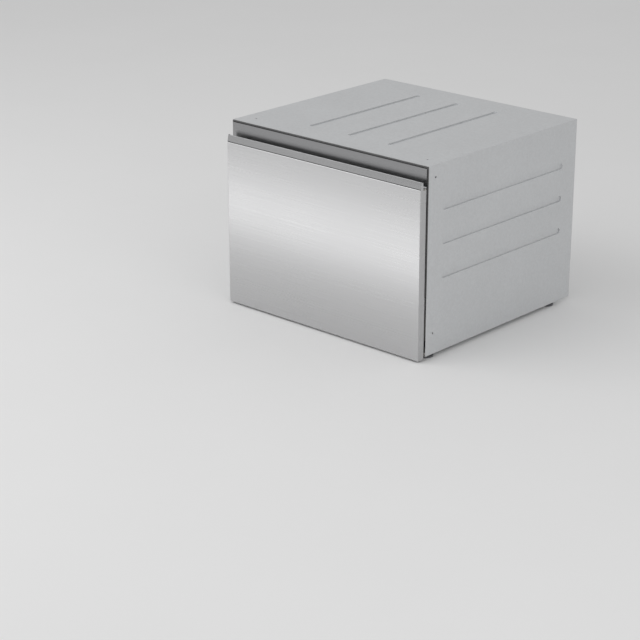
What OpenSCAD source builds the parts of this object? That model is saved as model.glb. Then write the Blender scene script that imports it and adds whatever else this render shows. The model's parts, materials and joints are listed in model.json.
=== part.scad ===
// Drawer dishwasher for building in under a worktop: a wash tub on ball runners in a steel chassis,
// with a lid that is lowered on the tub, two folding link arms for the hoses, and a hidden control strip.
// Millimetres. X runs across the front, -Y towards the user, +Z up.
// The origin is on the floor, at the middle of the overall width and depth. The drawer is drawn closed.

/* [Overall] */
// Width over the chassis side panels
appliance_w = 599; // [592:1:640]
// Height from the floor to the top of the chassis
appliance_h = 454; // [450:1:480]
// Depth from the face of the door to the back of the chassis
appliance_d = 573; // [568:1:620]
// Steel sheet of the chassis
sheet_t = 1.2; // [0.8:0.1:1.5]
// Height of the chassis underside over the floor
foot_rise = 10; // [9:1:14]
// Depth of the recess for the connections in the lower rear
service_d = 36.5; // [34:0.5:40]
// Height of that recess over the floor
service_h = 104; // [100:1:112]

/* [Door] */
// How far the steel front stays inside the width of the chassis on each side
panel_inset = 2.5; // [1.5:0.5:14]
// Height of the open recess between the finger lip and the top of the chassis
recess_h = 33; // [30:1:40]
// Floor clearance under the front
panel_lift = 4; // [3:1:12]
// Sheet of the front
panel_t = 1; // [0.8:0.1:1.5]
// Bend radius of the front's upright edges
panel_bend_r = 1.8; // [1.6:0.1:3]
// Thickness of the door in front of the chassis
door_t = 22; // [21:1:26]
// Gap between the door and the chassis, closed by the seal
door_gap = 2; // [1.8:0.1:3]
// Height of the finger lip over the steel front
lip_h = 17; // [14:1:19]
// How far the lip leans back at its top
lip_lean = 3.5; // [2:0.5:5]
// Wall of the lip
lip_t = 1.8; // [1.5:0.1:2.5]
// Depth of the finger recess from the face
recess_d = 20; // [18:0.5:20]
// Shadow groove between the front and the lip
groove_h = 1.4; // [1:0.1:2]

/* [Inner door] */
// Depth of the inner door between the chassis front and the tub
inner_door_d = 30; // [28:1:34]
// How far the inner door stays inside the width of the chassis on each side
inner_door_inset = 19.5; // [18.5:0.5:24]
// Wall of the inner door moulding
moulding_t = 2.5; // [2:0.25:3]
// Height of the inner door's underside
inner_door_z = 38; // [36:1:48]
// Clearance over the control strip
strip_clear = 0.8; // [0.6:0.1:1.2]

/* [Keys] */
// Distance between keys
key_pitch = 48; // [42:1:50]
// Width of a key
key_w = 30; // [20:1:34]
// Front to back size of a key
key_d = 9; // [7:0.5:10]
// Travel of a key
key_travel = 0.8; // [0.5:0.1:1]
// Clearance round a key
key_clear = 0.3; // [0.2:0.05:0.5]

/* [Tub] */
// Space beside the tub on each side, out to the face of the chassis
tub_side_gap = 27.5; // [25.5:0.5:33]
// Clearance between the tub and the recess for the connections
tub_back_gap = 6.5; // [4.5:0.5:16]
// Wall of the tub
tub_wall = 3.5; // [3:0.5:4]
// Depth of the tub's rim below the top of the chassis
rim_drop = 60; // [59:1:66]
// Height of the tub floor's upper face
tub_floor_z = 78; // [76:1:84]
// Outside radius of the tub's upright corners
tub_corner_r = 40; // [36:1:44]
// Outside radius between the tub's floor and walls
tub_edge_r = 25; // [20:1:28]
// How far the rim flange stands out
rim_flange = 9; // [7:0.5:10]
// Thickness of the rim flange
rim_t = 6; // [4:0.5:8]
// Radius of the sump
sump_r = 90; // [84:1:100]
// Depth of the sump below the tub floor
sump_d = 24.5; // [22:0.5:26]

/* [Lid] */
// How far the lid comes down
lid_travel = 8; // [6:0.5:9]
// Clearance left under the lid seal when it is down
seal_clear = 0.3; // [0.2:0.05:0.5]
// Height of the lid seal
seal_h = 3; // [2:0.5:3.5]
// Height of the lid pan
lid_h = 16; // [14:0.5:17]
// Wall of the lid pan
lid_t = 2.5; // [2:0.25:3]
// Horizontal travel of a lid slider for each millimetre of lid travel
cam_ratio = 3; // [2.5:0.5:3]
// Diameter of a lid pin
lid_pin_d = 5; // [4:0.5:6]
// Distance of the lid pins from the middle of the tub
lid_pin_y = 130; // [110:1:140]
// Tooth module of the lid drive
gear_m = 1.5; // [1.25:0.25:1.5]
// Teeth of a lid drive pinion
gear_n = 12; // [11:1:13]

/* [Runners] */
// Height of a runner over the floor, at its middle
runner_z = 118; // [112:1:140]
// Height of a runner's outer rail
runner_h = 45; // [43:1:48]
// Gap behind the rails
runner_gap = 0.5; // [0.5:0.5:20]
// Space across a runner, from the chassis to the drawer
runner_t = 12.7; // [12.2:0.1:13.5]
// Sheet of the rails
rail_t = 1.2; // [1:0.1:1.4]
// Diameter of the runner balls
ball_d = 3; // [2.6:0.1:3.1]

/* [Link arms] */
// Length of an arm between its pivots
link_len = 460; // [450:1:464]
// Width of an arm
link_w = 30; // [28:1:34]
// Height of an arm
link_h = 14; // [13:0.5:14]
// Angle of the folded arms from the cross direction
link_rest = 2.5; // [2.5:0.5:3]
// Diameter of the pivot pins
link_pin_d = 10; // [8:0.5:12]
// Slack each way for the last pin in its slot
link_slack = 10; // [10:0.5:12]

/* [Wash system] */
// Clearance between the tips of the spray arm and the nearest tub wall
spray_gap = 22.5; // [16:0.5:44]
// Width of the spray arm at its middle
spray_w = 56; // [44:1:64]
// Height of the spray arm
spray_h = 9; // [7:0.5:10]
// Number of jets on each half of the spray arm
jet_n = 5; // [3:1:6]
// Diameter of a jet
jet_d = 3; // [2:0.5:4]
// Radius of the filter plate
filter_r = 112; // [104:1:124]
// Radius of the drain filter
drain_filter_r = 26; // [22:1:28]
// Radius of the wash motor
motor_r = 62; // [55:1:70]
// Number of impeller vanes
vane_n = 7; // [5:1:9]

/* [Racks] */
// Clearance between the base rack and each side wall of the tub
rack_side_gap = 15.5; // [12:0.5:28]
// Clearance in front of the base rack
rack_front_gap = 19.5; // [19:0.5:24]
// Clearance behind the base rack
rack_back_gap = 13.5; // [12:0.5:40]
// Height of the base rack
rack_h = 126; // [110:1:132]
// Diameter of the rack wires
wire_d = 3.6; // [3.2:0.2:4]
// Diameter of the rack's frame wires
frame_d = 5; // [4.4:0.2:5.2]
// Spacing of the floor wires
wire_pitch = 40; // [36:1:48]
// Height of the rack's frame over the tub floor
rack_rise = 42; // [40:1:50]
// Height of a folding tine
tine_h = 92; // [80:1:96]
// Width of a cup shelf
shelf_w = 92; // [80:1:100]
// How far a cup shelf stays inside the depth of the rack at each end
shelf_inset = 32; // [28:1:48]

/* [Hidden] */
$fn = 48;
run_clear = 0.1;    // radial clearance of a running pin
fit_gap = 0.3;      // gap between pieces that do not touch

// Chassis
front_y = -appliance_d / 2;
rear_y = appliance_d / 2;
side_x = appliance_w / 2;
side_in_x = side_x - sheet_t;
chassis_y = front_y + door_t + door_gap;
service_y = rear_y - service_d;
top_in_z = appliance_h - sheet_t;
edge_flange = 16;
hem_d = 14;
seal_t = 2;
seal_nose = door_gap - fit_gap;
seal_low_z = 150;
bead_z = [for (k = [0:2]) seal_low_z + 40 + k * (appliance_h - seal_low_z - 64) / 3];
bead_y = (chassis_y + rear_y) / 2;
bead_len = rear_y - chassis_y - 100;
bead_w = 16;
bead_d = 3;
top_bead_len = bead_len - 50;
top_bead_y = bead_y;
top_bead_pitch = 120;
fixing_in = 24;
fixing_low_z = 60;
fixing_high_z = top_in_z - 27.8;
fixing_r = 2.25;
bench_x = side_x - 37.5;
bench_in = 40;
bench_r = 2.5;
vent_slot_n = 6;
screw_r = 1.9;
base_screw_y = [-140, 0, 140];
recess_screw_x = [-side_in_x + 43.3, -60, 60, side_in_x - 43.3];
vent_x = side_in_x - 108.3;
vent_top_z = appliance_h - 54;
vent_pitch = 12;
vent_len = 90;

// Leak tray and feet
tray_t = 1.6;
tray_z = foot_rise + sheet_t;
tray_top_z = tray_z + tray_t;
tray_wall_h = 20;
tray_front_h = 5;
tray_rib_x = [-120, 60, 150];
foot_r = 16;
foot_stem_r = 4;
foot_x = side_x - 19.5;
foot_front_y = chassis_y + 26.5;
foot_rear_y = service_y - 28;
foot_top_z = foot_rise + 26;
foot_boss_z = tray_top_z + 10;
base_flange = side_x - foot_x + 10.5;
base_screw_x = side_x - 24;
float_x = 100;
float_y = chassis_y + 62.5;
float_r = 15;
float_post_r = 3;

// Connections
port_z = tray_top_z + 51.2;
stub_r = 9;
inlet_x = 108.3 - side_in_x;
inlet_r = 13.2;
inlet_len = 12;
drain_x = inlet_x + 60;
drain_r = 11;
drain_len = 20;
gland_x = side_in_x - 108.3;
gland_neck_r = 9;
gland_r = 4.5;

// Power module
module_w = 96;
module_l = 120;
module_h = 45;
module_in = 16;

// Door
panel_w = appliance_w - 2 * panel_inset;
panel_h = appliance_h - recess_h - lip_h - panel_lift;
panel_top_z = panel_lift + panel_h;
lip_top_z = panel_top_z + lip_h;
liner_y = front_y + recess_d;
door_top_z = appliance_h - 2 * sheet_t - seal_t - strip_clear;
door_side_x = panel_w / 2;
panel_return = recess_d;
top_return = 9;
lip_set = 0.9;
lip_foot = 2.2;
channel_t = door_t - recess_d;
channel_r = 5;
channel_foot_z = panel_top_z - 18;
liner_low_z = panel_lift + 30;

// Tub
tub_y0 = chassis_y + inner_door_d;
tub_w = appliance_w - 2 * tub_side_gap;
tub_d = service_y - tub_back_gap - tub_y0;
rim_z = appliance_h - rim_drop;
tub_yc = tub_y0 + tub_d / 2;
tub_base_z = tub_floor_z - tub_wall;
tub_in_w = tub_w - 2 * tub_wall;
tub_in_d = tub_d - 2 * tub_wall;
tub_side_x = tub_w / 2;
tub_rib_z = [for (k = [2:-1:0]) rim_z - 54 - k * (rim_z - tub_floor_z - 76) / 3];
rim_x = tub_side_x + rim_flange;
sump_base_z = tub_base_z - sump_d;
sump_port_z = sump_base_z + 12;
sump_port_r = 7;
neck_r = 10;

// Inner door and control strip
inner_door_w = appliance_w - 2 * inner_door_inset;
shoulder_z = rim_z - rim_t - 4;
fascia_back_y = tub_y0 - rim_flange - 1.5;
fascia_t = 3;
inner_rib_x = [40 - inner_door_w / 2, 180 - inner_door_w / 2, 20, inner_door_w / 2 - 48];
key_n = 4;
board_t = 1.6;
board_w = panel_w - 144;
switch_h = 1;
board_z = door_top_z - fascia_t - 9.6;
key_y = (front_y + door_t + fascia_back_y) / 2;
display_x = 90;

// Lid and its drive
lid_side_x = rim_x - 2;
lid_yc = tub_yc;
lid_d = tub_d + 2 * rim_flange - 2;
lid_corner_r = tub_corner_r + rim_flange - 1;
lid_seal_z = rim_z + seal_clear + lid_travel;
seal_w = 6;
lid_z = lid_seal_z + seal_h;
lid_pin_z = lid_z + 9;
cam_travel = lid_travel * cam_ratio;
cam_w = lid_pin_d + 2 * run_clear + 0.2;
guide_x = side_in_x - 8.3;
guide_t = 2;
guide_len = 2 * (lid_pin_y + 60);
slider_t = 4;
slider_x = guide_x - 1.5 - slider_t;
slider_z = lid_pin_z - lid_travel - cam_w / 2 - 1.8;
guide_z = slider_z - fit_gap - 2 * guide_t - 1.2;
guide_h = top_in_z - 6.8 - guide_z;
gear_r = gear_m * gear_n / 2;
gear_base_r = gear_r * cos(20);
gear_backlash = 0.15;
rack_addendum = 0.65 * gear_m;
pinion_root_angle = tooth_angle(gear_base_r);
rack_pitch_z = lid_pin_z + 15;
pinion_z = rack_pitch_z + gear_r;
pinion_y = tub_yc + 55;
pinion_shaft_r = 2;
lid_motor_x = slider_x - 2.5;

// Runners
runner_in_x = side_in_x - runner_t;
runner_y0 = chassis_y + 12;
runner_len = service_y - runner_gap - runner_y0;
mid_h = runner_h - 2 * rail_t - 2 * (ball_d + 0.3);
inner_h = mid_h - 2 * rail_t - 2 * (ball_d + 0.3);
inner_w = runner_t - 3.8 - rail_t - 0.8;
rail_hole_y = [-0.4, 0, 0.4] * runner_len;
cage_y = runner_y0 + runner_len / 2;
cage_w = 4.4;
cage_len = 0.46 * runner_len;
ball_n = 11;
ball_pitch = cage_len / 11.5;
bracket_t = 1.5;
runner_bracket_h = 32;

// Link arms
pivot_x = 63.3 - side_in_x;
pivot_y = foot_rear_y;
link_pin_r = link_pin_d / 2;
link_t = 2;
link_clip_n = 3;
link_in = 2 * link_len * sin(link_rest);
arm_low_z = tray_top_z + 6;
arm_high_z = arm_low_z + link_h + 3;
drain_hose_r = 4.8;
supply_hose_r = 3.5;
tub_pivot_y = pivot_y - link_in;
tub_pin_r = 4;
link_bracket_t = 4;
link_bracket_z = arm_high_z + link_h + 5;

// Wash system
motor_z = tray_top_z + tray_front_h + 2.7;
motor_rib_n = 18;
shaft_r = 4;
impeller_z = sump_base_z + tub_wall + 5;
impeller_h = 9;
impeller_r = 24;
volute_r = impeller_r + 6;
volute_z0 = impeller_z - 1.5;
volute_z1 = impeller_z + impeller_h + 3.5;
stem_r = 12;
filter_z = tub_floor_z + 3;
filter_hole_n = 20;
drain_filter_y = volute_r + drain_filter_r + 2;
spray_z = filter_z + 21;
spray_len = min(tub_in_w, tub_in_d) - 2 * spray_gap;

// Racks
rack_w = tub_in_w - 2 * rack_side_gap;
rack_d = tub_in_d - rack_front_gap - rack_back_gap;
rack_z = tub_floor_z + rack_rise;
rack_y0 = tub_y0 + tub_wall + rack_front_gap;
rack_yc = rack_y0 + rack_d / 2;
rack_top_z = rack_z + rack_h;
rack_corner_r = 30;
post_y = 150;
flat = cos(22.5);     // a wire's octagon is this much narrower across its flats
weld = 0.35;          // how far welded wires sink into each other
floor_wire_z = rack_z + (frame_d + wire_d) / 2 * flat - weld;
cross_wire_z = floor_wire_z + wire_d * flat - weld;
wires_x = floor((rack_w / 2 - 24) / wire_pitch);
wires_y = floor((rack_d / 2 - 20) / wire_pitch);
tine_z = cross_wire_z + 8;
tine_rod_d = 4;
tine_d = 3.2;
tine_n = 10;
tine_pitch = 44;
row_y = [rack_yc - 62, rack_yc + 66];
shelf_x = rack_w / 2 - 1;
shelf_len = rack_d - 2 * shelf_inset;
shelf_z = rack_top_z + 11;
shelf_rod_d = 5;
shelf_slot_n = 6;
shelf_slot_pitch = 20;
basket_x = rack_w / 2 - 103;
basket_w = 176;
basket_d = 44;
basket_h = 110;
basket_n = 4;
basket_slot_h = (basket_h - 34) / 2;

// Dispenser and drying fan
dispenser_x = inner_door_w / 2 - 135;
dispenser_w = 106;
dispenser_z = rim_z - 97;
dispenser_h = 66;
dispenser_flange_t = 2.5;
cover_w = 52;
cap_x = dispenser_x + 27;
cap_r = 14;
fan_x = 110 - inner_door_w / 2;
fan_z = rim_z - 132;
fan_r = 44;
fan_blade_n = 11;
vent_r = 16;
duct_drop = fan_z - inner_door_z - moulding_t - fit_gap;

// ---------- shared shapes ----------

// Box from one corner to the opposite one
module block(a, b) translate(a) cube(b - a);

module rod_x(x0, x1, r) translate([x0, 0, 0]) rotate([0, 90, 0]) cylinder(r = r, h = x1 - x0);

module rod_y(y0, y1, r) translate([0, y0, 0]) rotate([-90, 0, 0]) cylinder(r = r, h = y1 - y0);

module rod_z(z0, z1, r) translate([0, 0, z0]) cylinder(r = r, h = z1 - z0);

// Extrusion across the appliance: the outline's x becomes Y, its y becomes Z
module along_x(x0, x1) translate([x0, 0, 0]) rotate([90, 0, 90]) linear_extrude(x1 - x0) children();

// Extrusion front to back: the outline's x stays X, its y becomes Z
module along_y(y0, y1) translate([0, y1, 0]) rotate([90, 0, 0]) linear_extrude(y1 - y0) children();

module both_sides() {
  children();
  mirror([1, 0, 0]) children();
}

// Round-ended outline, centred, len over its ends
module slot(len, w) {
  square([len - w, w], center = true);
  for (s = [-1, 1]) translate([s * (len - w) / 2, 0]) circle(w / 2);
}

// Rectangle with four round corners, centred
module round_rect(w, d, r) {
  square([w - 2 * r, d], center = true);
  square([w, d - 2 * r], center = true);
  for (x = [-1, 1], y = [-1, 1])
    translate([x * (w / 2 - r), y * (d / 2 - r)]) circle(r);
}

// Rectangle that stands on y = 0, with its two lower corners round
module round_base(w, h, r) {
  translate([-w / 2, r]) square([w, h - r]);
  translate([-w / 2 + r, 0]) square([w - 2 * r, h]);
  for (x = [-1, 1]) translate([x * (w / 2 - r), r]) circle(r);
}

// Tub form: round upright corners and a round edge along its floor
module tub_form(w, d, h, corner_r, edge_r) {
  intersection() {
    linear_extrude(h) round_rect(w, d, corner_r);
    along_y(-d / 2 - 1, d / 2 + 1) round_base(w, h, edge_r);
    along_x(-w / 2 - 1, w / 2 + 1) round_base(d, h, edge_r);
  }
}

// ---------- steel chassis ----------

// Stiffening beads: a round-ended ridge on the inside, or with cut = 1 its hollow on the outside
module side_bead(cut) {
  wall = cut * sheet_t;
  for (z = bead_z)
    translate([0, bead_y, z])
      along_x(side_in_x - bead_d + wall, side_x + cut)
        slot(bead_len - 2 * wall, bead_w - 2 * wall);
}

module side_panel() {
  difference() {
    union() {
      block([side_in_x, chassis_y, foot_rise], [side_x, rear_y - sheet_t, top_in_z]);
      block([side_x - base_flange, chassis_y, foot_rise], [side_x, service_y, tray_z]);
      block([side_x - edge_flange, chassis_y, top_in_z - sheet_t], [side_x, rear_y - sheet_t, top_in_z]);
      block([side_x - edge_flange, rear_y - 2 * sheet_t, service_h + sheet_t],
            [side_x, rear_y - sheet_t, top_in_z]);
      side_bead(0);
    }
    side_bead(1);
    for (z = [fixing_low_z, fixing_high_z])
      translate([0, chassis_y + fixing_in, z]) rod_x(side_in_x - 1, side_x + 1, fixing_r);
    for (y = [foot_front_y, foot_rear_y])
      translate([foot_x, y, 0]) rod_z(foot_rise - 1, tray_z + 1, foot_stem_r + 0.5);
    for (y = base_screw_y)
      translate([base_screw_x, y, 0]) rod_z(foot_rise - 1, tray_z + 1, screw_r + 0.2);
  }
}

module left_side_panel() color("silver") mirror([1, 0, 0]) side_panel();

module right_side_panel() color("silver") side_panel();

module top_bead(cut) {
  wall = cut * sheet_t;
  for (x = [-1:1])
    translate([x * top_bead_pitch, top_bead_y, top_in_z - bead_d + wall])
      rotate(90)
        linear_extrude(bead_d + sheet_t - wall + cut)
          slot(top_bead_len - 2 * wall, bead_w - 2 * wall);
}

module top_panel() color("silver") {
  hem_x = side_x - edge_flange - fit_gap;
  difference() {
    union() {
      block([-side_x, chassis_y, top_in_z], [side_x, rear_y, appliance_h]);
      block([-hem_x, chassis_y, top_in_z - sheet_t], [hem_x, chassis_y + hem_d, top_in_z]);
      top_bead(0);
    }
    top_bead(1);
    for (s = [-1, 1])
      translate([s * bench_x, chassis_y + bench_in, 0]) rod_z(top_in_z - 1, appliance_h + 1, bench_r);
  }
}

// Two sheets: the lower one stands further in, which leaves room for the connections, and carries the
// shelf of the upper one
module rear_panel() color("silver") {
  difference() {
    union() {
      block([-side_x, rear_y - sheet_t, service_h], [side_x, rear_y, top_in_z]);
      block([-side_in_x, service_y, service_h], [side_in_x, rear_y, service_h + sheet_t]);
      block([-side_in_x, service_y, tray_z], [side_in_x, service_y + sheet_t, service_h - fit_gap]);
    }
    translate([inlet_x, 0, port_z]) rod_y(service_y - 1, service_y + 3, stub_r + fit_gap);
    translate([drain_x, 0, port_z]) rod_y(service_y - 1, service_y + 3, stub_r + fit_gap);
    translate([gland_x, 0, port_z]) rod_y(service_y - 1, service_y + 3, gland_neck_r + fit_gap);
    recess_screw_places() rod_y(-tray_t - 1, sheet_t + 1, screw_r + 0.2);
    for (i = [0:vent_slot_n - 1], s = [-1, 1])
      translate([s * vent_x, 0, vent_top_z - vent_pitch * i])
        along_y(rear_y - sheet_t - 1, rear_y + 1) slot(vent_len, 4);
  }
}

module recess_screw_places()
  for (x = recess_screw_x) translate([x, service_y, tray_top_z + 9]) children();

// Leak tray: it catches drips, and carries the float, the power module and the arm post
module base_tray() color("gainsboro") {
  w = 2 * side_in_x;
  y0 = chassis_y + 2;
  d = service_y - y0;
  wall_z = tray_top_z + tray_wall_h;
  difference() {
    union() {
      difference() {
        translate([0, y0 + d / 2, tray_z]) linear_extrude(wall_z - tray_z) round_rect(w, d, 4);
        translate([0, y0 + d / 2, tray_top_z])
          linear_extrude(wall_z) round_rect(w - 2 * tray_t, d - 2 * tray_t, 4 - tray_t);
        block([-side_x, y0 - 1, tray_top_z + tray_front_h], [side_x, y0 + tray_t + 1, wall_z + 1]);
      }
      for (s = [-1, 1], y = [foot_front_y, foot_rear_y])
        translate([s * foot_x, y, 0]) rod_z(tray_z, foot_boss_z, foot_stem_r + 5);
      for (x = tray_rib_x) block([x - 1, y0, tray_z], [x + 1, service_y, tray_top_z + 3]);
      translate([pivot_x, pivot_y, 0]) {
        rod_z(tray_z, arm_low_z - fit_gap, link_w / 2 - 2);
        rod_z(tray_z, arm_low_z + link_h + fit_gap + 0.1, link_pin_r);
        rod_z(arm_low_z + link_h + fit_gap, arm_high_z - 0.8, link_pin_r + 2.5);
      }
      translate([float_x, float_y, 0]) rod_z(tray_z, tray_top_z + 24, float_post_r);
    }
    for (s = [-1, 1], y = [foot_front_y, foot_rear_y])
      translate([s * foot_x, y, 0]) rod_z(tray_z - 1, foot_boss_z + 1, foot_stem_r + run_clear);
    for (s = [-1, 1], y = base_screw_y)
      translate([s * base_screw_x, y, 0]) rod_z(tray_z - 1, tray_top_z + 1, screw_r + 0.2);
    recess_screw_places() rod_y(-tray_t - 1, 1, screw_r + 0.2);
  }
}

// Rubber strip round the sides and top of the chassis opening, with a nose that the door closes on
module front_seal() color("dimgray") {
  top_z = top_in_z - sheet_t;
  y1 = chassis_y + hem_d;
  both_sides() {
    block([side_in_x - seal_t, chassis_y - seal_nose, seal_low_z], [side_in_x, y1, top_z]);
    block([side_in_x - seal_t, chassis_y - seal_nose, seal_low_z], [side_x, chassis_y, top_z]);
  }
  block([-side_in_x, chassis_y - seal_nose, top_z - seal_t], [side_in_x, y1, top_z]);
  block([-side_x, chassis_y - seal_nose, top_z - seal_t], [side_x, chassis_y, appliance_h - sheet_t]);
}

module screw_up() {
  rod_z(foot_rise - 2, foot_rise, 4);
  rod_z(foot_rise - 1, tray_top_z + 2, screw_r);
}

module chassis_screws() color("darkgray") {
  for (s = [-1, 1], y = base_screw_y) translate([s * base_screw_x, y, 0]) screw_up();
  recess_screw_places() {
    rod_y(sheet_t, sheet_t + 2, 4);
    rod_y(-tray_t - 2, sheet_t + 1, screw_r);
  }
}

// ---------- connections in the service recess ----------

module inlet_valve() color("white") {
  y = service_y + sheet_t;
  translate([inlet_x, 0, port_z]) {
    difference() {
      union() {
        rod_y(service_y - 12, y + 1, stub_r);
        rod_y(y, y + 3, 17);
        rod_y(y + 2, y + 3 + inlet_len, inlet_r);
      }
      rod_y(y - 4, y + 4 + inlet_len, inlet_r - 4.5);
    }
    block([-9, service_y - 12, -9], [9, service_y - fit_gap, 7]);
    for (a = [0:60:300])
      rotate([0, a, 0]) block([-0.8, y - 2, 0], [0.8, y + 1, inlet_r - 4]);
  }
}

module drain_outlet() color("dimgray") {
  y = service_y + sheet_t;
  translate([drain_x, 0, port_z])
    difference() {
      union() {
        rod_y(service_y - 14, y + 1, stub_r);
        rod_y(y, y + 3, 16);
        rod_y(y + 2, y + 1 + drain_len, drain_r);
        translate([0, y + 1 + drain_len, 0])
          rotate([-90, 0, 0]) cylinder(r1 = drain_r, r2 = drain_r - 1.2, h = 2);
      }
      rod_y(service_y - 15, y + 4 + drain_len, drain_r - 3);
    }
}

module mains_gland() color("black") {
  y = service_y + sheet_t;
  translate([gland_x, 0, port_z])
    difference() {
      union() {
        rod_y(service_y - 9, y + 1, gland_neck_r);
        rod_y(y, y + 5, gland_neck_r + 3.5);
        rod_y(service_y - 7, service_y, gland_neck_r + 3.5);
      }
      rod_y(service_y - 10, y + 6, gland_r);
    }
}

module power_module() color("whitesmoke") {
  a = [side_in_x - module_in - module_w, chassis_y + 40, tray_top_z];
  b = [side_in_x - module_in, chassis_y + 40 + module_l, tray_top_z + module_h];
  mid = (a + b) / 2;
  translate([mid[0], mid[1], a[2] + 3])
    linear_extrude(b[2] - a[2] - 3) round_rect(b[0] - a[0], b[1] - a[1], 5);
  translate([mid[0], mid[1], b[2] - 8])
    linear_extrude(2) round_rect(b[0] - a[0] + 3, b[1] - a[1] + 3, 6);
  for (s = [-1, 1], t = [-1, 1])
    translate([mid[0] + s * 38, mid[1] + t * 50, 0]) rod_z(a[2], a[2] + 4, 6);
  for (i = [0:3])
    block([a[0] - 7, a[1] + 16 + 24 * i, a[2] + 14], [a[0] + 1, a[1] + 32 + 24 * i, a[2] + 26]);
}

// Hollow float that lifts when water stands in the leak tray
module flood_float() color("orange") {
  z = tray_top_z + fit_gap;
  translate([float_x, float_y, 0])
    difference() {
      union() {
        rod_z(z, z + 9, float_r);
        rod_z(z + 9, z + 12, 8);
      }
      rod_z(z - 1, z + 13, float_post_r + 0.3);
      difference() {
        rod_z(z - 1, z + 7, float_r - 1.6);
        rod_z(z - 2, z + 8, float_post_r + 2);
      }
    }
}

// Levelling foot: pad, hexagon for the spanner, threaded stem
module foot(side, y) {
  color("dimgray")
    translate([side * foot_x, y, 0]) {
      difference() {
        rod_z(0, 4, foot_r);
        rod_z(-1, 0.8, foot_r - 4);
      }
      rod_z(3.5, foot_rise - 0.5, 13 / 2 / cos(30), $fn = 6);
      rod_z(foot_rise - 1, foot_top_z, foot_stem_r);
    }
}

module foot_front_left() foot(-1, foot_front_y);

module foot_front_right() foot(1, foot_front_y);

module foot_rear_left() foot(-1, foot_rear_y);

module foot_rear_right() foot(1, foot_rear_y);

// ---------- runners ----------

// C section of a rail, open towards -X, its web's outer face at x = 0
module rail_section(width, height, lip) {
  translate([-rail_t, -height / 2]) square([rail_t, height]);
  for (s = [-1, 1]) {
    translate([-width, s * (height - rail_t) / 2 - rail_t / 2]) square([width, rail_t]);
    translate([-width, s * (height / 2 - lip / 2) - lip / 2]) square([0.8, lip]);
  }
}

module rail(x, section_w, height, lip)
  translate([x, 0, runner_z])
    translate([0, runner_y0 + runner_len, 0]) rotate([90, 0, 0])
      linear_extrude(runner_len) rail_section(section_w, height, lip);

module outer_rails() color("silver") both_sides() {
  difference() {
    rail(side_in_x, 10, runner_h, rail_t + 1.4);
    for (y = rail_hole_y) translate([0, y, runner_z]) rod_x(side_in_x - 3, side_in_x + 1, 2.6);
  }
}

module middle_rails() color("silver") both_sides()
  rail(side_in_x - 3.8, 7, mid_h, rail_t + 1);

module inner_rails() color("silver") both_sides()
  translate([2 * runner_in_x, 0, 0]) mirror([1, 0, 0]) rail(runner_in_x, inner_w, inner_h, rail_t);

// Rows of balls above and below a rail, held in strips
module ball_cages(z, x) {
  both_sides()
    for (s = [-1, 1])
      translate([x, cage_y, runner_z + s * z]) {
        translate([-cage_w / 2, -cage_len / 2, -0.4]) cube([cage_w, cage_len, 0.8]);
        for (i = [0:ball_n - 1])
          translate([0, (i - (ball_n - 1) / 2) * ball_pitch, 0]) sphere(d = ball_d, $fn = 24);
      }
}

module outer_ball_cages() color("gold")
  ball_cages((runner_h / 2 - rail_t + mid_h / 2) / 2, side_in_x - 5.6);

module inner_ball_cages() color("gold")
  ball_cages((mid_h / 2 - rail_t + inner_h / 2) / 2, runner_in_x + 4.6);

// Folded brackets that carry the tub on the inner rails
module runner_brackets() color("darkgray") both_sides() {
  h = runner_bracket_h;
  translate([0, 0, runner_z])
    for (part = [0:2])
      along_y(tub_y0 + tub_corner_r, tub_y0 + tub_d - tub_corner_r) {
        if (part == 0)
          translate([runner_in_x - bracket_t, -h / 2]) square([bracket_t, h]);
        if (part == 1)
          for (s = [-1, 1])
            translate([tub_side_x, s * (h - bracket_t) / 2 - bracket_t / 2])
              square([runner_in_x - tub_side_x, bracket_t]);
        if (part == 2)
          for (s = [-1, 1])
            translate([tub_side_x, s * (h / 2 + 3.5) - 4.5]) square([bracket_t, 9]);
      }
}

// ---------- lid and its drive ----------

module lid_outline(inset)
  round_rect(2 * (lid_side_x - inset), lid_d - 2 * inset, lid_corner_r - inset);

// Ribbed moulding, open at the top, with its four pins in side bosses
module lid_pan() color("whitesmoke") {
  translate([0, lid_yc, lid_z]) {
    difference() {
      linear_extrude(lid_h) lid_outline(0);
      translate([0, 0, lid_t]) linear_extrude(lid_h) lid_outline(lid_t);
    }
    for (x = [-2:2])
      block([x * lid_side_x / 3 - 1, -lid_d / 2 + 1, 0], [x * lid_side_x / 3 + 1, lid_d / 2 - 1, lid_h - 5]);
    for (y = [-1:1])
      block([-lid_side_x + 1, y * lid_d / 4 - 1, 0], [lid_side_x - 1, y * lid_d / 4 + 1, lid_h - 5]);
  }
  both_sides()
    for (s = [-1, 1])
      translate([0, tub_yc + s * lid_pin_y, lid_pin_z]) {
        rod_x(lid_side_x - 16, lid_side_x - 1, lid_pin_d / 2 + 2);
        rod_x(lid_side_x - 12, guide_x + guide_t + 1.5, lid_pin_d / 2);
      }
}

// Soft ring that closes on the rim of the tub
module lid_seal() color("dimgray")
  translate([0, lid_yc, lid_seal_z])
    difference() {
      linear_extrude(seal_h) lid_outline(1);
      translate([0, 0, -1]) linear_extrude(seal_h + 2) lid_outline(1 + seal_w);
      translate([0, 0, -1]) linear_extrude(seal_h / 2 + 1)
        difference() {
          lid_outline(seal_w / 2);
          lid_outline(seal_w / 2 + 2);
        }
    }

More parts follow.
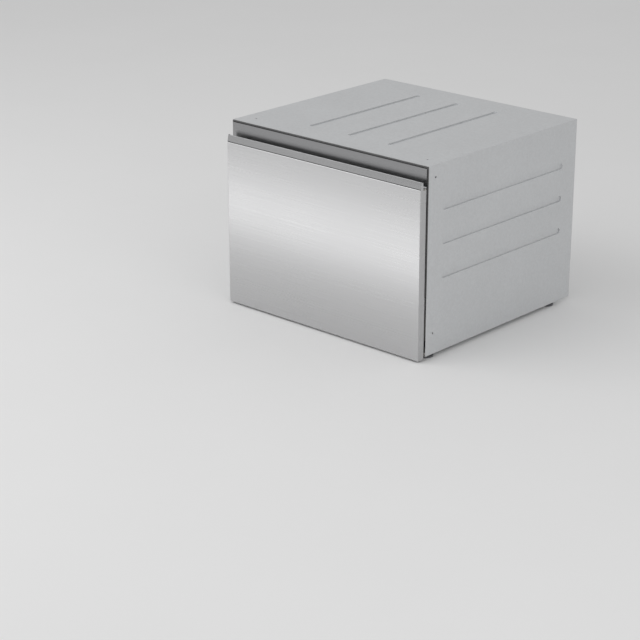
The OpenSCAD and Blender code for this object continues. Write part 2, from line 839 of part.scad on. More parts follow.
// Channel on each side of the chassis: slots keep the lid pins upright, a ledge carries the slider
module lid_guides() color("silver") both_sides() {
  y0 = tub_yc - guide_len / 2;
  y1 = tub_yc + guide_len / 2;
  difference() {
    union() {
      block([guide_x, y0, guide_z], [guide_x + guide_t, y1, guide_z + guide_h]);
      for (z = [guide_z, guide_z + guide_h - guide_t])
        block([guide_x, y0, z], [side_in_x, y1, z + guide_t]);
      block([slider_x - 1.7, y0, slider_z - fit_gap - guide_t], [guide_x + 1, y1, slider_z - fit_gap]);
    }
    for (s = [-1, 1])
      translate([0, tub_yc + s * lid_pin_y, lid_pin_z - lid_travel / 2])
        along_x(guide_x - 1, guide_x + guide_t + 1) rotate(90) slot(lid_travel + cam_w, cam_w);
    translate([0, pinion_y, pinion_z])
      rod_x(guide_x - 1, guide_x + guide_t + 1, pinion_shaft_r + run_clear);
  }
}

// Slot that a pin runs down as the slider moves back
module cam_slot() {
  len = norm([cam_travel, lid_travel]);
  translate([-cam_travel / 2, -lid_travel / 2])
    rotate(atan2(lid_travel, cam_travel)) slot(len + cam_w, cam_w);
}

module rack_tooth() {
  root = 1.25 * gear_m;
  tip = rack_addendum;
  half = PI * gear_m / 4 - gear_backlash;
  polygon([
    [-half - root * tan(20), -root - 0.4], [-half - root * tan(20), -root],
    [-half + tip * tan(20), tip], [half - tip * tan(20), tip],
    [half + root * tan(20), -root], [half + root * tan(20), -root - 0.4]
  ]);
}

// The part of a slider with slots and teeth, seen from the side
module slider_plate() {
  top = rack_pitch_z - 1.25 * gear_m;
  y0 = tub_yc - lid_pin_y - cam_travel - 14;
  y1 = tub_yc + lid_pin_y + 14;
  pitch = PI * gear_m;
  teeth_y = pinion_y - cam_travel;
  difference() {
    union() {
      translate([y0, slider_z]) square([y1 - y0, lid_pin_z + 10 - slider_z]);
      translate([teeth_y - 12, slider_z]) square([cam_travel + 24, top - slider_z]);
      intersection() {
        for (i = [-1:ceil(cam_travel / pitch) + 1])
          translate([pinion_y - (i - 0.5) * pitch, rack_pitch_z]) rack_tooth();
        translate([teeth_y - 11.5, slider_z]) square([cam_travel + 23, 60]);
      }
    }
    for (s = [-1, 1]) translate([tub_yc + s * lid_pin_y, lid_pin_z]) cam_slot();
    for (y = [-60, -20]) translate([tub_yc + y - 12, lid_pin_z - 1]) slot(30, 8);
  }
}

module lid_sliders() color("steelblue") both_sides()
  along_x(slider_x, slider_x + slider_t) slider_plate();

function involute(a) = tan(a) * 180 / PI - a;
function tooth_angle(r) =
  90 / gear_n - gear_backlash / gear_r * 180 / PI + involute(20)
  - involute(acos(min(1, gear_base_r / r)));

// Spur pinion with involute flanks; one tooth points down at the rack
module pinion_outline() {
  root = gear_r - 1.25 * gear_m;
  tip = gear_r + gear_m;
  radii = [for (i = [0:4]) gear_base_r + (tip - gear_base_r) * i / 4];
  circle(root);
  for (k = [0:gear_n - 1])
    rotate(k * 360 / gear_n - 90)
      polygon(concat(
        [[0, 0], root * [cos(pinion_root_angle), -sin(pinion_root_angle)]],
        [for (r = radii) r * [cos(tooth_angle(r)), -sin(tooth_angle(r))]],
        [for (i = [4:-1:0]) radii[i] * [cos(tooth_angle(radii[i])), sin(tooth_angle(radii[i]))]],
        [root * [cos(pinion_root_angle), sin(pinion_root_angle)]]
      ));
}

// Both pinions turn on one line; each has its shaft from the motor to the guide plate
module lid_pinions() color("white") both_sides()
  translate([0, pinion_y, pinion_z]) {
    along_x(slider_x, slider_x + slider_t) pinion_outline();
    rod_x(lid_motor_x - 10, guide_x + guide_t + 1, pinion_shaft_r);
  }

// Geared motor under the top panel, over each side of the lid
module lid_motors() color("dimgray") both_sides()
  difference() {
    union() {
      block([lid_motor_x - 26, pinion_y - 14, pinion_z - 12], [lid_motor_x, pinion_y + 14, top_in_z]);
      translate([0, pinion_y, pinion_z + 1]) rod_x(lid_motor_x - 62, lid_motor_x - 25, 12);
      translate([0, pinion_y, pinion_z + 1]) rod_x(lid_motor_x - 66, lid_motor_x - 61, 6);
      block([lid_motor_x - 20, pinion_y - 22, top_in_z - 3], [lid_motor_x - 6, pinion_y + 22, top_in_z]);
    }
    translate([0, pinion_y, pinion_z])
      rod_x(lid_motor_x - 11, lid_motor_x + 1, pinion_shaft_r + run_clear / 2);
  }

// ---------- folding link arms ----------

// Channel from one pivot to the next along +X, open at the top, with the hoses clipped in it
module arm_channel() {
  r = link_w / 2;
  difference() {
    translate([link_len / 2, 0, 0]) linear_extrude(link_h) slot(link_len + link_w, link_w);
    translate([link_len / 2, 0, link_t])
      linear_extrude(link_h) square([link_len - 2 * r - 12, link_w - 2 * link_t], center = true);
    rod_z(-1, link_h + 1, link_pin_r + run_clear);
  }
  for (i = [1:link_clip_n])
    translate([i * link_len / (link_clip_n + 1) - 4, -r + 1, link_h - 1.4]) cube([8, link_w - 2, 1.4]);
}

module arm_hoses() {
  x0 = link_w / 2 + 6.5;
  x1 = link_len - link_w / 2 - 6.5;
  z = link_t + fit_gap;
  translate([0, -6.5, z + drain_hose_r]) rod_x(x0, x1, drain_hose_r);
  translate([0, 6.5, z + supply_hose_r]) rod_x(x0, x1, supply_hose_r);
}

module lower_link_arm() color("slategray")
  translate([pivot_x, pivot_y, arm_low_z]) rotate(-link_rest) {
    difference() {
      arm_channel();
      translate([link_len, 0, 0]) rod_z(-1, link_h - 3, 3);
    }
    translate([link_len, 0, 0]) {
      rod_z(link_h - 0.5, link_h + 2.7, link_w / 2 - 4);
      rod_z(link_h - 2, 2 * link_h + 3.4, link_pin_r);
      rod_z(2 * link_h + 3.3, 2 * link_h + 5.3, link_pin_r + 2.5);
    }
    arm_hoses();
  }

module upper_link_arm() color("slategray")
  translate([pivot_x, pivot_y, arm_high_z]) rotate(-link_rest) translate([link_len, 0, 0])
    rotate(180 + 2 * link_rest) {
      arm_channel();
      translate([link_len, 0, 0]) {
        rod_z(link_h - 1, link_h + 2.5, link_w / 2 - 5);
        rod_z(link_h - 1, link_bracket_z + link_bracket_t - arm_high_z + 1.5, tub_pin_r);
      }
      arm_hoses();
    }

// ---------- door ----------

// Plan outline of the steel front: its two upright front edges are bent round
module panel_plan(w, r) {
  translate([-w / 2, front_y + r]) square([w, panel_return]);
  translate([-w / 2 + r, front_y]) square([w - 2 * r, r + 1]);
  for (s = [-1, 1]) translate([s * (w / 2 - r), front_y + r]) circle(r);
}

// Side outline of the steel front, with its upper and lower front edges round
module panel_profile(z0, z1, r) {
  translate([front_y + r, z0]) square([panel_return, z1 - z0]);
  translate([front_y, z0 + r]) square([r + 1, z1 - z0 - 2 * r]);
  for (z = [z0 + r, z1 - r]) translate([front_y + r, z]) circle(r);
}

module panel_form(inset) {
  r = panel_bend_r - inset;
  translate([0, inset, 0])
    intersection() {
      translate([0, 0, panel_lift - 1]) linear_extrude(panel_h + 2) panel_plan(panel_w - 2 * inset, r);
      along_x(-door_side_x - 1, door_side_x + 1)
        panel_profile(panel_lift + inset, panel_top_z - inset, r);
    }
}

// Steel skin with its edges folded back, and ears that close the ends of the lip
module front_panel() color("silver") {
  y1 = front_y + panel_return;
  difference() {
    panel_form(0);
    panel_form(panel_t);
    block([-side_x, y1, 0], [side_x, y1 + 30, appliance_h]);
    block([-side_x, front_y + top_return, panel_top_z - panel_t - 1],
          [side_x, y1 + 1, appliance_h]);
  }
  both_sides()
    along_x(door_side_x - panel_t, door_side_x)
      polygon([
        [front_y + panel_bend_r, panel_top_z - 1], [front_y + top_return, panel_top_z - 1],
        [front_y + lip_set + lip_lean + 4, lip_top_z], [front_y + lip_set + lip_lean, lip_top_z],
        [front_y + lip_set, panel_top_z + groove_h]
      ]);
}

// Stiffening board bonded behind the steel
module panel_backing() color("tan") {
  x = door_side_x - panel_t - fit_gap;
  difference() {
    block([-x, front_y + panel_t + 0.2, panel_lift + panel_t + fit_gap],
          [x, liner_y - 0.2, panel_top_z - panel_t - fit_gap]);
    for (s = [-1, 1], z = [panel_lift + 60, panel_top_z - 60])
      translate([s * (door_side_x - 40), 0, z]) rod_y(liner_y - 12, liner_y + 1, 7);
  }
}

// Slanted strip over the steel front; its foot stands back, which leaves the shadow groove
module finger_lip() color("silver") {
  x = door_side_x - panel_t - fit_gap;
  z = panel_top_z;
  face = front_y + lip_set;
  along_x(-x, x) {
    polygon([
      [front_y + lip_foot, z], [front_y + top_return, z], [front_y + top_return, z + sheet_t],
      [face + lip_t + 1, z + groove_h + 1], [face + lip_lean + lip_t, lip_top_z - lip_t / 2],
      [face + lip_lean, lip_top_z - lip_t / 2], [face, z + groove_h], [front_y + lip_foot, z + groove_h]
    ]);
    translate([face + lip_lean + lip_t / 2, lip_top_z - lip_t / 2]) circle(lip_t / 2);
  }
}

// Channel behind the lip: the hand goes in from above, and its back wall runs up to the door's top
module handle_channel() color("silver") {
  floor_top = panel_top_z + sheet_t;
  along_x(-door_side_x, door_side_x) {
    translate([front_y + top_return + 0.1, floor_top - channel_t])
      square([recess_d - top_return, channel_t]);
    translate([liner_y, channel_foot_z]) square([channel_t, door_top_z - channel_foot_z]);
    difference() {
      translate([liner_y - channel_r, floor_top - 0.1]) square([channel_r + 0.1, channel_r + 0.1]);
      translate([liner_y - channel_r, floor_top + channel_r]) circle(channel_r);
    }
  }
}

// Inner sheet of the door, with its edges dressed back round the board
module door_liner() color("silver") {
  x = door_side_x - 9;
  z0 = liner_low_z;
  z1 = channel_foot_z - 0.5;
  difference() {
    block([-x, liner_y, z0], [x, liner_y + channel_t, z1]);
    for (s = [-1, 1], z = [z0 + 26, z0 + 170, z1 - 26])
      translate([s * (x - 10), 0, z]) rod_y(liner_y - 1, liner_y + 3, 2.2);
  }
}

// Hollow mouldings between the door and the tub: a shell open towards the tub, and on it the box that
// holds the board, open at the top and further forward, so the lid can pass behind it
module inner_door() color("whitesmoke") {
  x = inner_door_w / 2;
  y0 = front_y + door_t;
  y1 = fascia_back_y;
  top = door_top_z - fascia_t;
  difference() {
    block([-x, y0, inner_door_z], [x, tub_y0, shoulder_z]);
    block([-x + moulding_t, y0 + moulding_t, inner_door_z + moulding_t],
          [x - moulding_t, tub_y0 + 1, shoulder_z - moulding_t]);
    for (i = [-1:1])
      translate([fan_x - fan_r + 13 + i * 7, (y0 + tub_y0) / 2, inner_door_z - 1])
        rotate(90) linear_extrude(moulding_t + 2) slot(18, 4);
  }
  for (rib = inner_rib_x)
    block([rib - 1, y0 + 1, inner_door_z + 1], [rib + 1, tub_y0, shoulder_z - 1]);
  difference() {
    block([-x, y0, shoulder_z + fit_gap], [x, y1, top]);
    block([-x + moulding_t, y0 + moulding_t, shoulder_z + fit_gap + moulding_t],
          [x - moulding_t, y1 - moulding_t, top + 1]);
  }
  block([-x + 1, y0 + 1, board_z - 1.5], [x - 1, y1 - 1, board_z]);
}

// ---------- control strip in the top edge of the door ----------

function key_x(i) = (i - (key_n - 1)) * key_pitch;

module control_strip() color("black") {
  x = inner_door_w / 2;
  y0 = front_y + door_t;
  z0 = door_top_z - fascia_t;
  difference() {
    union() {
      block([-x, y0, z0], [x, fascia_back_y, door_top_z]);
      block([-x + moulding_t + fit_gap, y0 + moulding_t + fit_gap, z0 - 3],
            [x - moulding_t - fit_gap, fascia_back_y - moulding_t - fit_gap, z0]);
    }
    for (i = [0:key_n - 1])
      translate([key_x(i), key_y, z0 - 4])
        linear_extrude(fascia_t + 5) round_rect(key_w + 2 * key_clear, key_d + 2 * key_clear, 2.5);
    block([-x + 5, y0 + 4.5, z0 - 4], [x - 5, fascia_back_y - 4.5, z0]);
    translate([display_x, key_y, z0 + 1.2]) linear_extrude(fascia_t) round_rect(70, 10, 2);
  }
  translate([display_x, key_y, z0 + 1.3 - 0.1]) linear_extrude(1.5) round_rect(69, 9, 1.5);
}

// Key cap with a flange under the strip and a stem over its switch
module key(i) color("silver")
  translate([key_x(i), key_y, 0]) {
    translate([0, 0, door_top_z - fascia_t - 1.6])
      linear_extrude(fascia_t + 1.4) round_rect(key_w, key_d, 2.2);
    translate([0, 0, door_top_z - fascia_t - 1.6])
      linear_extrude(1.3) round_rect(key_w + 3, key_d + 1.6, 2.5);
    rod_z(board_z + board_t + switch_h + key_travel + 0.2, door_top_z - fascia_t - 1, 2);
  }

module power_key() key(0);

module program_key() key(1);

module delay_key() key(2);

module start_key() key(3);

// Board with a push switch under each key, the display and the connectors
module control_board() color("darkgreen") {
  block([-board_w / 2, key_y - 6, board_z], [board_w / 2, key_y + 6, board_z + board_t]);
  for (i = [0:key_n - 1])
    translate([key_x(i), key_y, 0]) {
      block([-3, -3, board_z + board_t - 0.1], [3, 3, board_z + board_t + switch_h - 0.8]);
      rod_z(board_z + board_t, board_z + board_t + switch_h, 1.7);
    }
  block([display_x - 32, key_y - 4.5, board_z + 1], [display_x + 32, key_y + 4.5, board_z + board_t + 4]);
  for (i = [0:2])
    translate([9 + 16 * i - board_w / 2, key_y, board_z]) block([0, -4, 1], [10, 4, 6]);
}

// ---------- drying fan in the inner door ----------

module drying_fan_case() color("lightgray") {
  y0 = front_y + door_t + moulding_t + fit_gap;
  y1 = tub_y0 - 2;
  duct = 13;
  translate([fan_x, 0, fan_z])
    difference() {
      union() {
        rod_y(y0, y1, fan_r);
        block([-fan_r, y0, -duct_drop], [-fan_r + 2 * duct, y1, 0]);
        rod_y(y1 - 1, tub_y0 + tub_wall - 0.5, vent_r - fit_gap);
      }
      rod_y(y0 + 2, y1 - 2, fan_r - 2);
      block([-fan_r + 2, y0 + 2, -duct_drop - 1], [-fan_r + 2 * duct - 2, y1 - 2, 0]);
      rod_y(y1 - 3, tub_y0 + tub_wall, vent_r - 3);
      rod_y(y0 - 1, y0 + 3, 2 + run_clear);
    }
}

// Centrifugal rotor: disc, curved blades, shaft
module fan_rotor() color("white") {
  y0 = front_y + door_t + moulding_t + fit_gap + 3;
  y1 = tub_y0 - 5;
  translate([fan_x, 0, fan_z]) {
    rod_y(y0, y0 + 1.5, fan_r - 6);
    rod_y(y0 - 2.8, y1 - 6, 2);
    rod_y(y0, y1 - 8, 7);
    for (k = [0:fan_blade_n - 1])
      rotate([0, k * 360 / fan_blade_n, 0])
        along_y(y0 + 1, y1) fan_blade();
  }
}

module fan_blade()
  translate([fan_r - 14, 0])
    difference() {
      translate([0, 7]) circle(9);
      translate([0, 7.2]) circle(8);
      translate([-12, -4]) square([12, 24]);
      translate([-12, 7]) square([30, 20]);
    }

// ---------- dispenser in the front wall of the tub ----------

// Cup for detergent and a tank for rinse aid, behind one flange with two guide rails
module detergent_dispenser() color("whitesmoke") {
  y_in = tub_y0 + tub_wall;
  y_face = y_in + dispenser_flange_t;
  z0 = dispenser_z - dispenser_h / 2;
  z1 = dispenser_z + dispenser_h / 2;
  x0 = dispenser_x - dispenser_w / 2;
  x1 = dispenser_x + dispenser_w / 2;
  cup_w = cover_w - 6;
  difference() {
    union() {
      block([x0, tub_y0 - 27, z0], [x1, y_in, z1]);
      block([x0 - cover_w - 4, y_in, z0 - 6], [x1 + 8, y_face, z1 + 6]);
      for (z = [z0 - 4, z1 + 1.3])
        block([x0 - cover_w - 4, y_face - 0.5, z], [x0 + cover_w + 6, y_face + 4, z + 2.7]);
    }
    block([x0 + 3, tub_y0 - 24, z0 + 5], [x0 + 3 + cup_w, y_face + 1, z1 - 5]);
    translate([cap_x, 0, dispenser_z]) rod_y(tub_y0 - 20, y_face + 1, cap_r - 3.5);
  }
  for (i = [1:2])
    block([x0 + 2, tub_y0 - 25, z0 + 5 + i * 14], [x0 + 4 + cup_w, tub_y0 - 6, z0 + 6.5 + i * 14]);
}

// Cover that slides aside to let the detergent out
module detergent_cover() color("gray") {
  y = tub_y0 + tub_wall + dispenser_flange_t + 0.2;
  x0 = dispenser_x - dispenser_w / 2;
  z0 = dispenser_z - dispenser_h / 2;
  block([x0, y, z0 - 1], [x0 + cover_w, y + 2.4, z0 + dispenser_h + 1]);
  for (i = [0:3]) block([x0 + 5 + 3 * i, y + 2, z0 + 18], [x0 + 6.5 + 3 * i, y + 4, z0 + dispenser_h - 18]);
}

module rinse_aid_cap() color("steelblue") {
  y = tub_y0 + tub_wall + dispenser_flange_t + 0.2;
  translate([cap_x, 0, dispenser_z]) {
    difference() {
      rod_y(y, y + 5, cap_r);
      for (s = [-1, 1])
        translate([s * (cap_r - 1), 0, 0]) rod_y(y + 1.5, y + 6, 8);
    }
    rod_y(y - 8, y + 1, cap_r - 4);
  }
}

// ---------- tub ----------

module rim_outline(inset)
  round_rect(2 * (rim_x - inset), tub_d + 2 * (rim_flange - inset), tub_corner_r + rim_flange - inset);

module tub() color("lightgray") {
  translate([0, tub_yc, 0])
    difference() {
      union() {
        translate([0, 0, tub_base_z])
          tub_form(tub_w, tub_d, rim_z - tub_base_z, tub_corner_r, tub_edge_r);
        translate([0, 0, rim_z - 2.5]) linear_extrude(2.5) rim_outline(0);
        difference() {
          translate([0, 0, rim_z - rim_t]) linear_extrude(rim_t) rim_outline(0);
          translate([0, 0, rim_z - rim_t - 1]) linear_extrude(rim_t + 2) rim_outline(2);
        }
        for (z = tub_rib_z) tub_rib(z);
        rod_z(sump_base_z, tub_floor_z, sump_r + tub_wall);
        link_bracket();
      }
      translate([0, 0, tub_floor_z])
        tub_form(tub_in_w, tub_in_d, rim_z, tub_corner_r - tub_wall, tub_edge_r - tub_wall);
      rod_z(sump_base_z + tub_wall, tub_floor_z + 1, sump_r);
      rod_z(sump_base_z - 1, sump_base_z + tub_wall + 1, neck_r + fit_gap);
      translate([0, 0, sump_port_z]) rod_x(-sump_r - tub_wall - 1, -sump_r + 8, sump_port_r);
      block([dispenser_x - dispenser_w / 2 - fit_gap, -tub_d / 2 - 1,
             dispenser_z - dispenser_h / 2 - fit_gap],
            [dispenser_x + dispenser_w / 2 + fit_gap, -tub_d / 2 + tub_wall + 1,
             dispenser_z + dispenser_h / 2 + fit_gap]);
      translate([fan_x, 0, fan_z]) rod_y(-tub_d / 2 - 1, -tub_d / 2 + tub_wall + 1, vent_r);
    }
  intersection() {
    translate([0, tub_yc, tub_base_z])
      tub_form(tub_w, tub_d, rim_z - tub_base_z, tub_corner_r, tub_edge_r);
    for (s = [-1, 1], t = [-1, 1])
      translate([s * rack_w / 2, rack_yc + t * post_y, 0])
        rod_z(tub_base_z, rack_z - frame_d / 2 - fit_gap, 7);
  }
}

// Stiffening rib round the sides and the back
module tub_rib(z)
  intersection() {
    translate([0, 0, z])
      linear_extrude(2.5)
        difference() {
          round_rect(tub_w + 10, tub_d + 10, tub_corner_r + 5);
          round_rect(tub_w - tub_wall, tub_d - tub_wall, tub_corner_r - tub_wall / 2);
        }
    block([-tub_w, -tub_d / 2 + tub_corner_r, z - 1], [tub_w, tub_d, z + 4]);
  }

// Bracket under the tub with a slot for the last pin of the link arms
module link_bracket() {
  y = tub_pivot_y - tub_yc;
  slot_len = 2 * (link_slack + tub_pin_r + run_clear + 0.1);
  z = link_bracket_z;
  half = tub_pin_r + 14;
  translate([pivot_x, y, 0]) {
    difference() {
      block([-half, -slot_len / 2 - 8, z], [half, slot_len / 2 + 8, z + link_bracket_t]);
      translate([0, 0, z - 1])
        rotate(90) linear_extrude(link_bracket_t + 2) slot(slot_len, 2 * (tub_pin_r + run_clear + 0.1));
    }
    for (s = [-1, 1])
      block([s * (half - 1.5) - 1.5, -slot_len / 2 - 8, z], [s * (half - 1.5) + 1.5, slot_len / 2 + 8,
            tub_base_z + tub_wall - 1]);
  }
}

// ---------- wash system ----------

// Flat motor under the sump; inside the sump, the volute and the hollow stem of the spray arm
module wash_unit() color("slategray")
  translate([0, tub_yc, 0]) {
    difference() {
      union() {
        rod_z(motor_z, sump_base_z - fit_gap, motor_r);
        rod_z(sump_base_z - 1, sump_base_z + tub_wall, neck_r);
        for (k = [0:motor_rib_n - 1])
          rotate(k * 360 / motor_rib_n)
            block([motor_r - 2, -1.2, motor_z + 4], [motor_r + 4, 1.2, sump_base_z - 6]);
      }
      rod_z(motor_z + 3, sump_base_z + tub_wall + 1, shaft_r + run_clear);
      for (k = [0:5])
        rotate(k * 60 + 30) translate([motor_r * 0.62, 0, 0]) rod_z(motor_z - 1, motor_z + 4, 9);
    }
    difference() {
      union() {
        rod_z(volute_z0, volute_z1, volute_r);
        rod_z(volute_z1 - 1, spray_z + spray_h + 1, stem_r);
        rod_z(spray_z + spray_h + fit_gap, spray_z + spray_h + 5, stem_r + 3.5);
        rod_z(spray_z - 3, spray_z - fit_gap, stem_r + 3.5);
      }
      rod_z(volute_z0 - 1, volute_z1 - 2, volute_r - 2.5);
      rod_z(volute_z1 - 3, spray_z + spray_h - 1, stem_r - 2.5);
      for (k = [0:3])
        rotate(k * 90 + 45) translate([0, 0, spray_z + spray_h / 2]) rod_x(stem_r - 5, stem_r + 2, 2.8);
    }
    for (k = [0:2])
      rotate(k * 120 + 30)
        translate([volute_r - 1.4, 0, 0]) rod_z(sump_base_z + tub_wall, volute_z0 + 3, 2.2);
  }

// Motor shaft with the wash impeller
module wash_rotor() color("white")
  translate([0, tub_yc, 0]) {
    rod_z(motor_z + 3.4, impeller_z + 2, shaft_r);
    rod_z(impeller_z, impeller_z + 2, impeller_r);
    rod_z(impeller_z, impeller_z + impeller_h + 0.5, 7);
    for (k = [0:vane_n - 1])
      rotate(k * 360 / vane_n)
        translate([0, 0, impeller_z + 1])
          linear_extrude(impeller_h - 1)
            difference() {
              translate([impeller_r / 2, 0]) circle(impeller_r / 2 - 1);
              translate([impeller_r / 2, 0]) circle(impeller_r / 2 - 2.4);
              translate([0, -impeller_r]) square([impeller_r, impeller_r]);
            }
  }

// Blade of the spray arm: it narrows to a round tip
module spray_blade(inset) {
  tip_r = spray_w * 0.26;
  reach = spray_len / 2 - tip_r;
  polygon([
    [0, -spray_w / 2 + inset], [reach, -tip_r + inset], [reach, tip_r - inset], [0, spray_w / 2 - inset]
  ]);
  translate([reach, 0]) circle(tip_r - inset);
}

// Two hollow blades with a row of jets each, one row nearer the front edge, one nearer the back
module spray_arm() color("dimgray")
  translate([0, tub_yc, spray_z])
    difference() {
      union() {
        for (a = [0, 180]) rotate(a) linear_extrude(spray_h) spray_blade(0);
        cylinder(r = spray_w / 2 + 3, h = spray_h);
      }
      for (a = [0, 180])
        rotate(a)
          translate([0, 0, 1.8]) linear_extrude(spray_h - 3.6) spray_blade(2);
      rod_z(-1, spray_h + 1, stem_r + run_clear + 0.1);
      for (a = [0, 180], i = [0:jet_n - 1])
        rotate(a)
          translate([spray_w * 0.62 + i * (spray_len / 2 - spray_w) / (jet_n - 0.6), 5 - 2.5 * i, 0])
            rod_z(spray_h - 3, spray_h + 1, jet_d / 2);
    }

// Perforated plate over the sump
module filter_plate() color("silver")
  translate([0, tub_yc, 0])
    difference() {
      union() {
        rod_z(filter_z - 1.2, filter_z, filter_r);
        difference() {
          rod_z(tub_floor_z + 0.1, filter_z, filter_r);
          rod_z(tub_floor_z, filter_z + 1, filter_r - 2);
        }
      }
      rod_z(filter_z - 3, filter_z + 1, stem_r + 0.6);
      translate([0, -drain_filter_y, 0]) rod_z(filter_z - 3, filter_z + 1, drain_filter_r + fit_gap);
      for (ring = [0:2], k = [0:filter_hole_n - 1]) {
        a = k * 360 / filter_hole_n;
        r = 36 + ring * 22;
        p = [r * sin(a), r * cos(a)];
        if (norm(p + [0, drain_filter_y]) > drain_filter_r + 8)
          translate([p[0], p[1], 0]) rod_z(filter_z - 3, filter_z + 1, 3);
      }
    }

// Cup strainer that locks with a part turn of its grip
module drain_filter() color("steelblue")
  translate([0, tub_yc - drain_filter_y, 0]) {
    difference() {
      union() {
        rod_z(sump_base_z + tub_wall + 1, filter_z, drain_filter_r);
        rod_z(filter_z + fit_gap, filter_z + 2, drain_filter_r + 3);
        rod_z(filter_z - 1, filter_z + 1, drain_filter_r);
      }
      rod_z(sump_base_z + tub_wall + 3, filter_z + 3, drain_filter_r - 2.5);
      for (k = [0:7])
        rotate(k * 45) translate([0, 0, tub_floor_z - 12]) rod_x(drain_filter_r - 5, drain_filter_r + 1, 3.5);
    }
    block([-drain_filter_r + 1, -2, filter_z - 4], [drain_filter_r - 1, 2, filter_z + 11]);
  }

// Drain pump at the side of the sump, with its motor and its hose stub
module drain_pump() color("black")
  translate([-sump_r - tub_wall, tub_yc, sump_port_z]) {
    translate([0, 0, -12]) {
      rod_x(-26, -1, 21);
      rod_x(-30, -26, 23);
      rod_x(-68, -30, 16);
      rod_x(-72, -68, 6);
    }
    rod_x(-2, tub_wall + 2, sump_port_r - fit_gap);
    translate([-14, 0, -12]) rod_y(18, 42, 7);
  }

// ---------- racks ----------

module wire(a, b, d) {
  v = b - a;
  translate(a)
    rotate([0, acos(v[2] / norm(v)), atan2(v[1], v[0])])
      linear_extrude(norm(v)) rotate(22.5) circle(d = d, $fn = 8);
}

// Quarter turns of frame wire at the corners of a loop, clear of the straight wires by the given gap
module wire_corners(w, d, r, gap) {
  trim = gap / r * 180 / PI;
  for (q = [0:3])
    rotate(q * 90)
      translate([(q % 2 == 0 ? w : d) / 2 - r, (q % 2 == 0 ? d : w) / 2 - r, 0])
        rotate(trim) rotate_extrude(angle = 90 - 2 * trim)
          translate([r, 0]) rotate(22.5) circle(d = frame_d, $fn = 8);
}

// Post with an eye that a rod turns in
module eye(h, r) {
  difference() {
    union() {
      translate([-3, -r - 1.8, -h]) cube([6, 2 * r + 3.6, h]);
      rod_x(-3, 3, r + 1.8);
    }
    rod_x(-4, 4, r + run_clear);
  }
}

// Welded wall of the rack, seen along the wall: frame wire on top, a rail on the floor's wires, and
// upright wires between
module rack_wall(len, uprights, carrying_z) {
  rail_z = carrying_z + wire_d * flat + fit_gap;
  wire([-len / 2, 0, rack_top_z], [len / 2, 0, rack_top_z], frame_d);
  wire([-len / 2, 0, rail_z], [len / 2, 0, rail_z], wire_d);
  for (i = [-uprights:uprights])
    wire([i * wire_pitch, 0, rail_z], [i * wire_pitch, 0, rack_top_z], wire_d);
}

// Wire rack: the floor, the four walls and the corners of the top frame meet edge to edge
module base_rack() color("lightsteelblue") {
  x = rack_w / 2;
  y = rack_d / 2;
  r = rack_corner_r;
  translate([0, rack_yc, 0]) {
    translate([0, 0, rack_z]) wire_corners(rack_w, rack_d, r, 0);
    for (s = [-1, 1]) {
      wire([-x + r, s * y, rack_z], [x - r, s * y, rack_z], frame_d);
      wire([s * x, -y + r, rack_z], [s * x, y - r, rack_z], frame_d);
    }
    for (i = [-wires_x:wires_x])
      wire([i * wire_pitch, -y, floor_wire_z], [i * wire_pitch, y, floor_wire_z], wire_d);
    for (i = [-wires_y:wires_y])
      wire([-x, i * wire_pitch, cross_wire_z], [x, i * wire_pitch, cross_wire_z], wire_d);
    translate([0, 0, rack_top_z]) wire_corners(rack_w, rack_d, r, fit_gap);
    for (s = [-1, 1]) {
      translate([0, s * y, 0]) rack_wall(rack_w - 2 * r, wires_x, floor_wire_z);
      translate([s * x, 0, 0]) rotate(90) rack_wall(rack_d - 2 * r, wires_y, cross_wire_z);
    }
  }
  for (row = row_y, i = [-3, 0, 3])
    translate([i * wire_pitch, row, tine_z])
      eye(tine_z - floor_wire_z - wire_d / 2 * flat - fit_gap, tine_rod_d / 2);
  for (s = [-1, 1], t = [-1, 1])
    translate([s * shelf_x, rack_yc + t * shelf_len * 0.36, shelf_z])
      rotate(90) eye(shelf_z - rack_top_z + 1, shelf_rod_d / 2);
}

// Folding row of tines on its rod
module tines(y) color("lightsteelblue")
  translate([0, y, tine_z]) {
    half = (tine_n - 1) / 2 * tine_pitch;
    rod_x(-half - 8, half + 8, tine_rod_d / 2);
    for (i = [0:tine_n - 1])
      translate([-half + i * tine_pitch, 0, 0]) {
        rod_z(0, tine_h - tine_d / 2, tine_d / 2);
        translate([0, 0, tine_h - tine_d / 2]) sphere(tine_d / 2 + 0.4);
      }
  }

module front_tines() tines(row_y[0]);

module rear_tines() tines(row_y[1]);

// Folding shelf over the side of the rack, with notches for stems
module cup_shelf() {
  color("lightsteelblue")
    translate([shelf_x, rack_yc, shelf_z]) {
      rod_y(-shelf_len / 2, shelf_len / 2, shelf_rod_d / 2);
      difference() {
        translate([-shelf_w / 2 + 2, 0, -1.5])
          linear_extrude(3) round_rect(shelf_w, shelf_len - 70, 10);
        for (i = [-shelf_slot_n:shelf_slot_n])
          translate([-shelf_w / 2 - 2, i * shelf_slot_pitch, -3]) linear_extrude(6) slot(shelf_w - 32, 12);
        for (t = [-1, 1])
          translate([0, t * shelf_len * 0.36, -4]) cube([14, 9, 20], center = true);
      }
      translate([-shelf_w + 3.5, 0, 0]) rod_y(-shelf_len / 2 + 50, shelf_len / 2 - 50, 2.5);
    }
}

module left_cup_shelf() mirror([1, 0, 0]) cup_shelf();

module right_cup_shelf() cup_shelf();

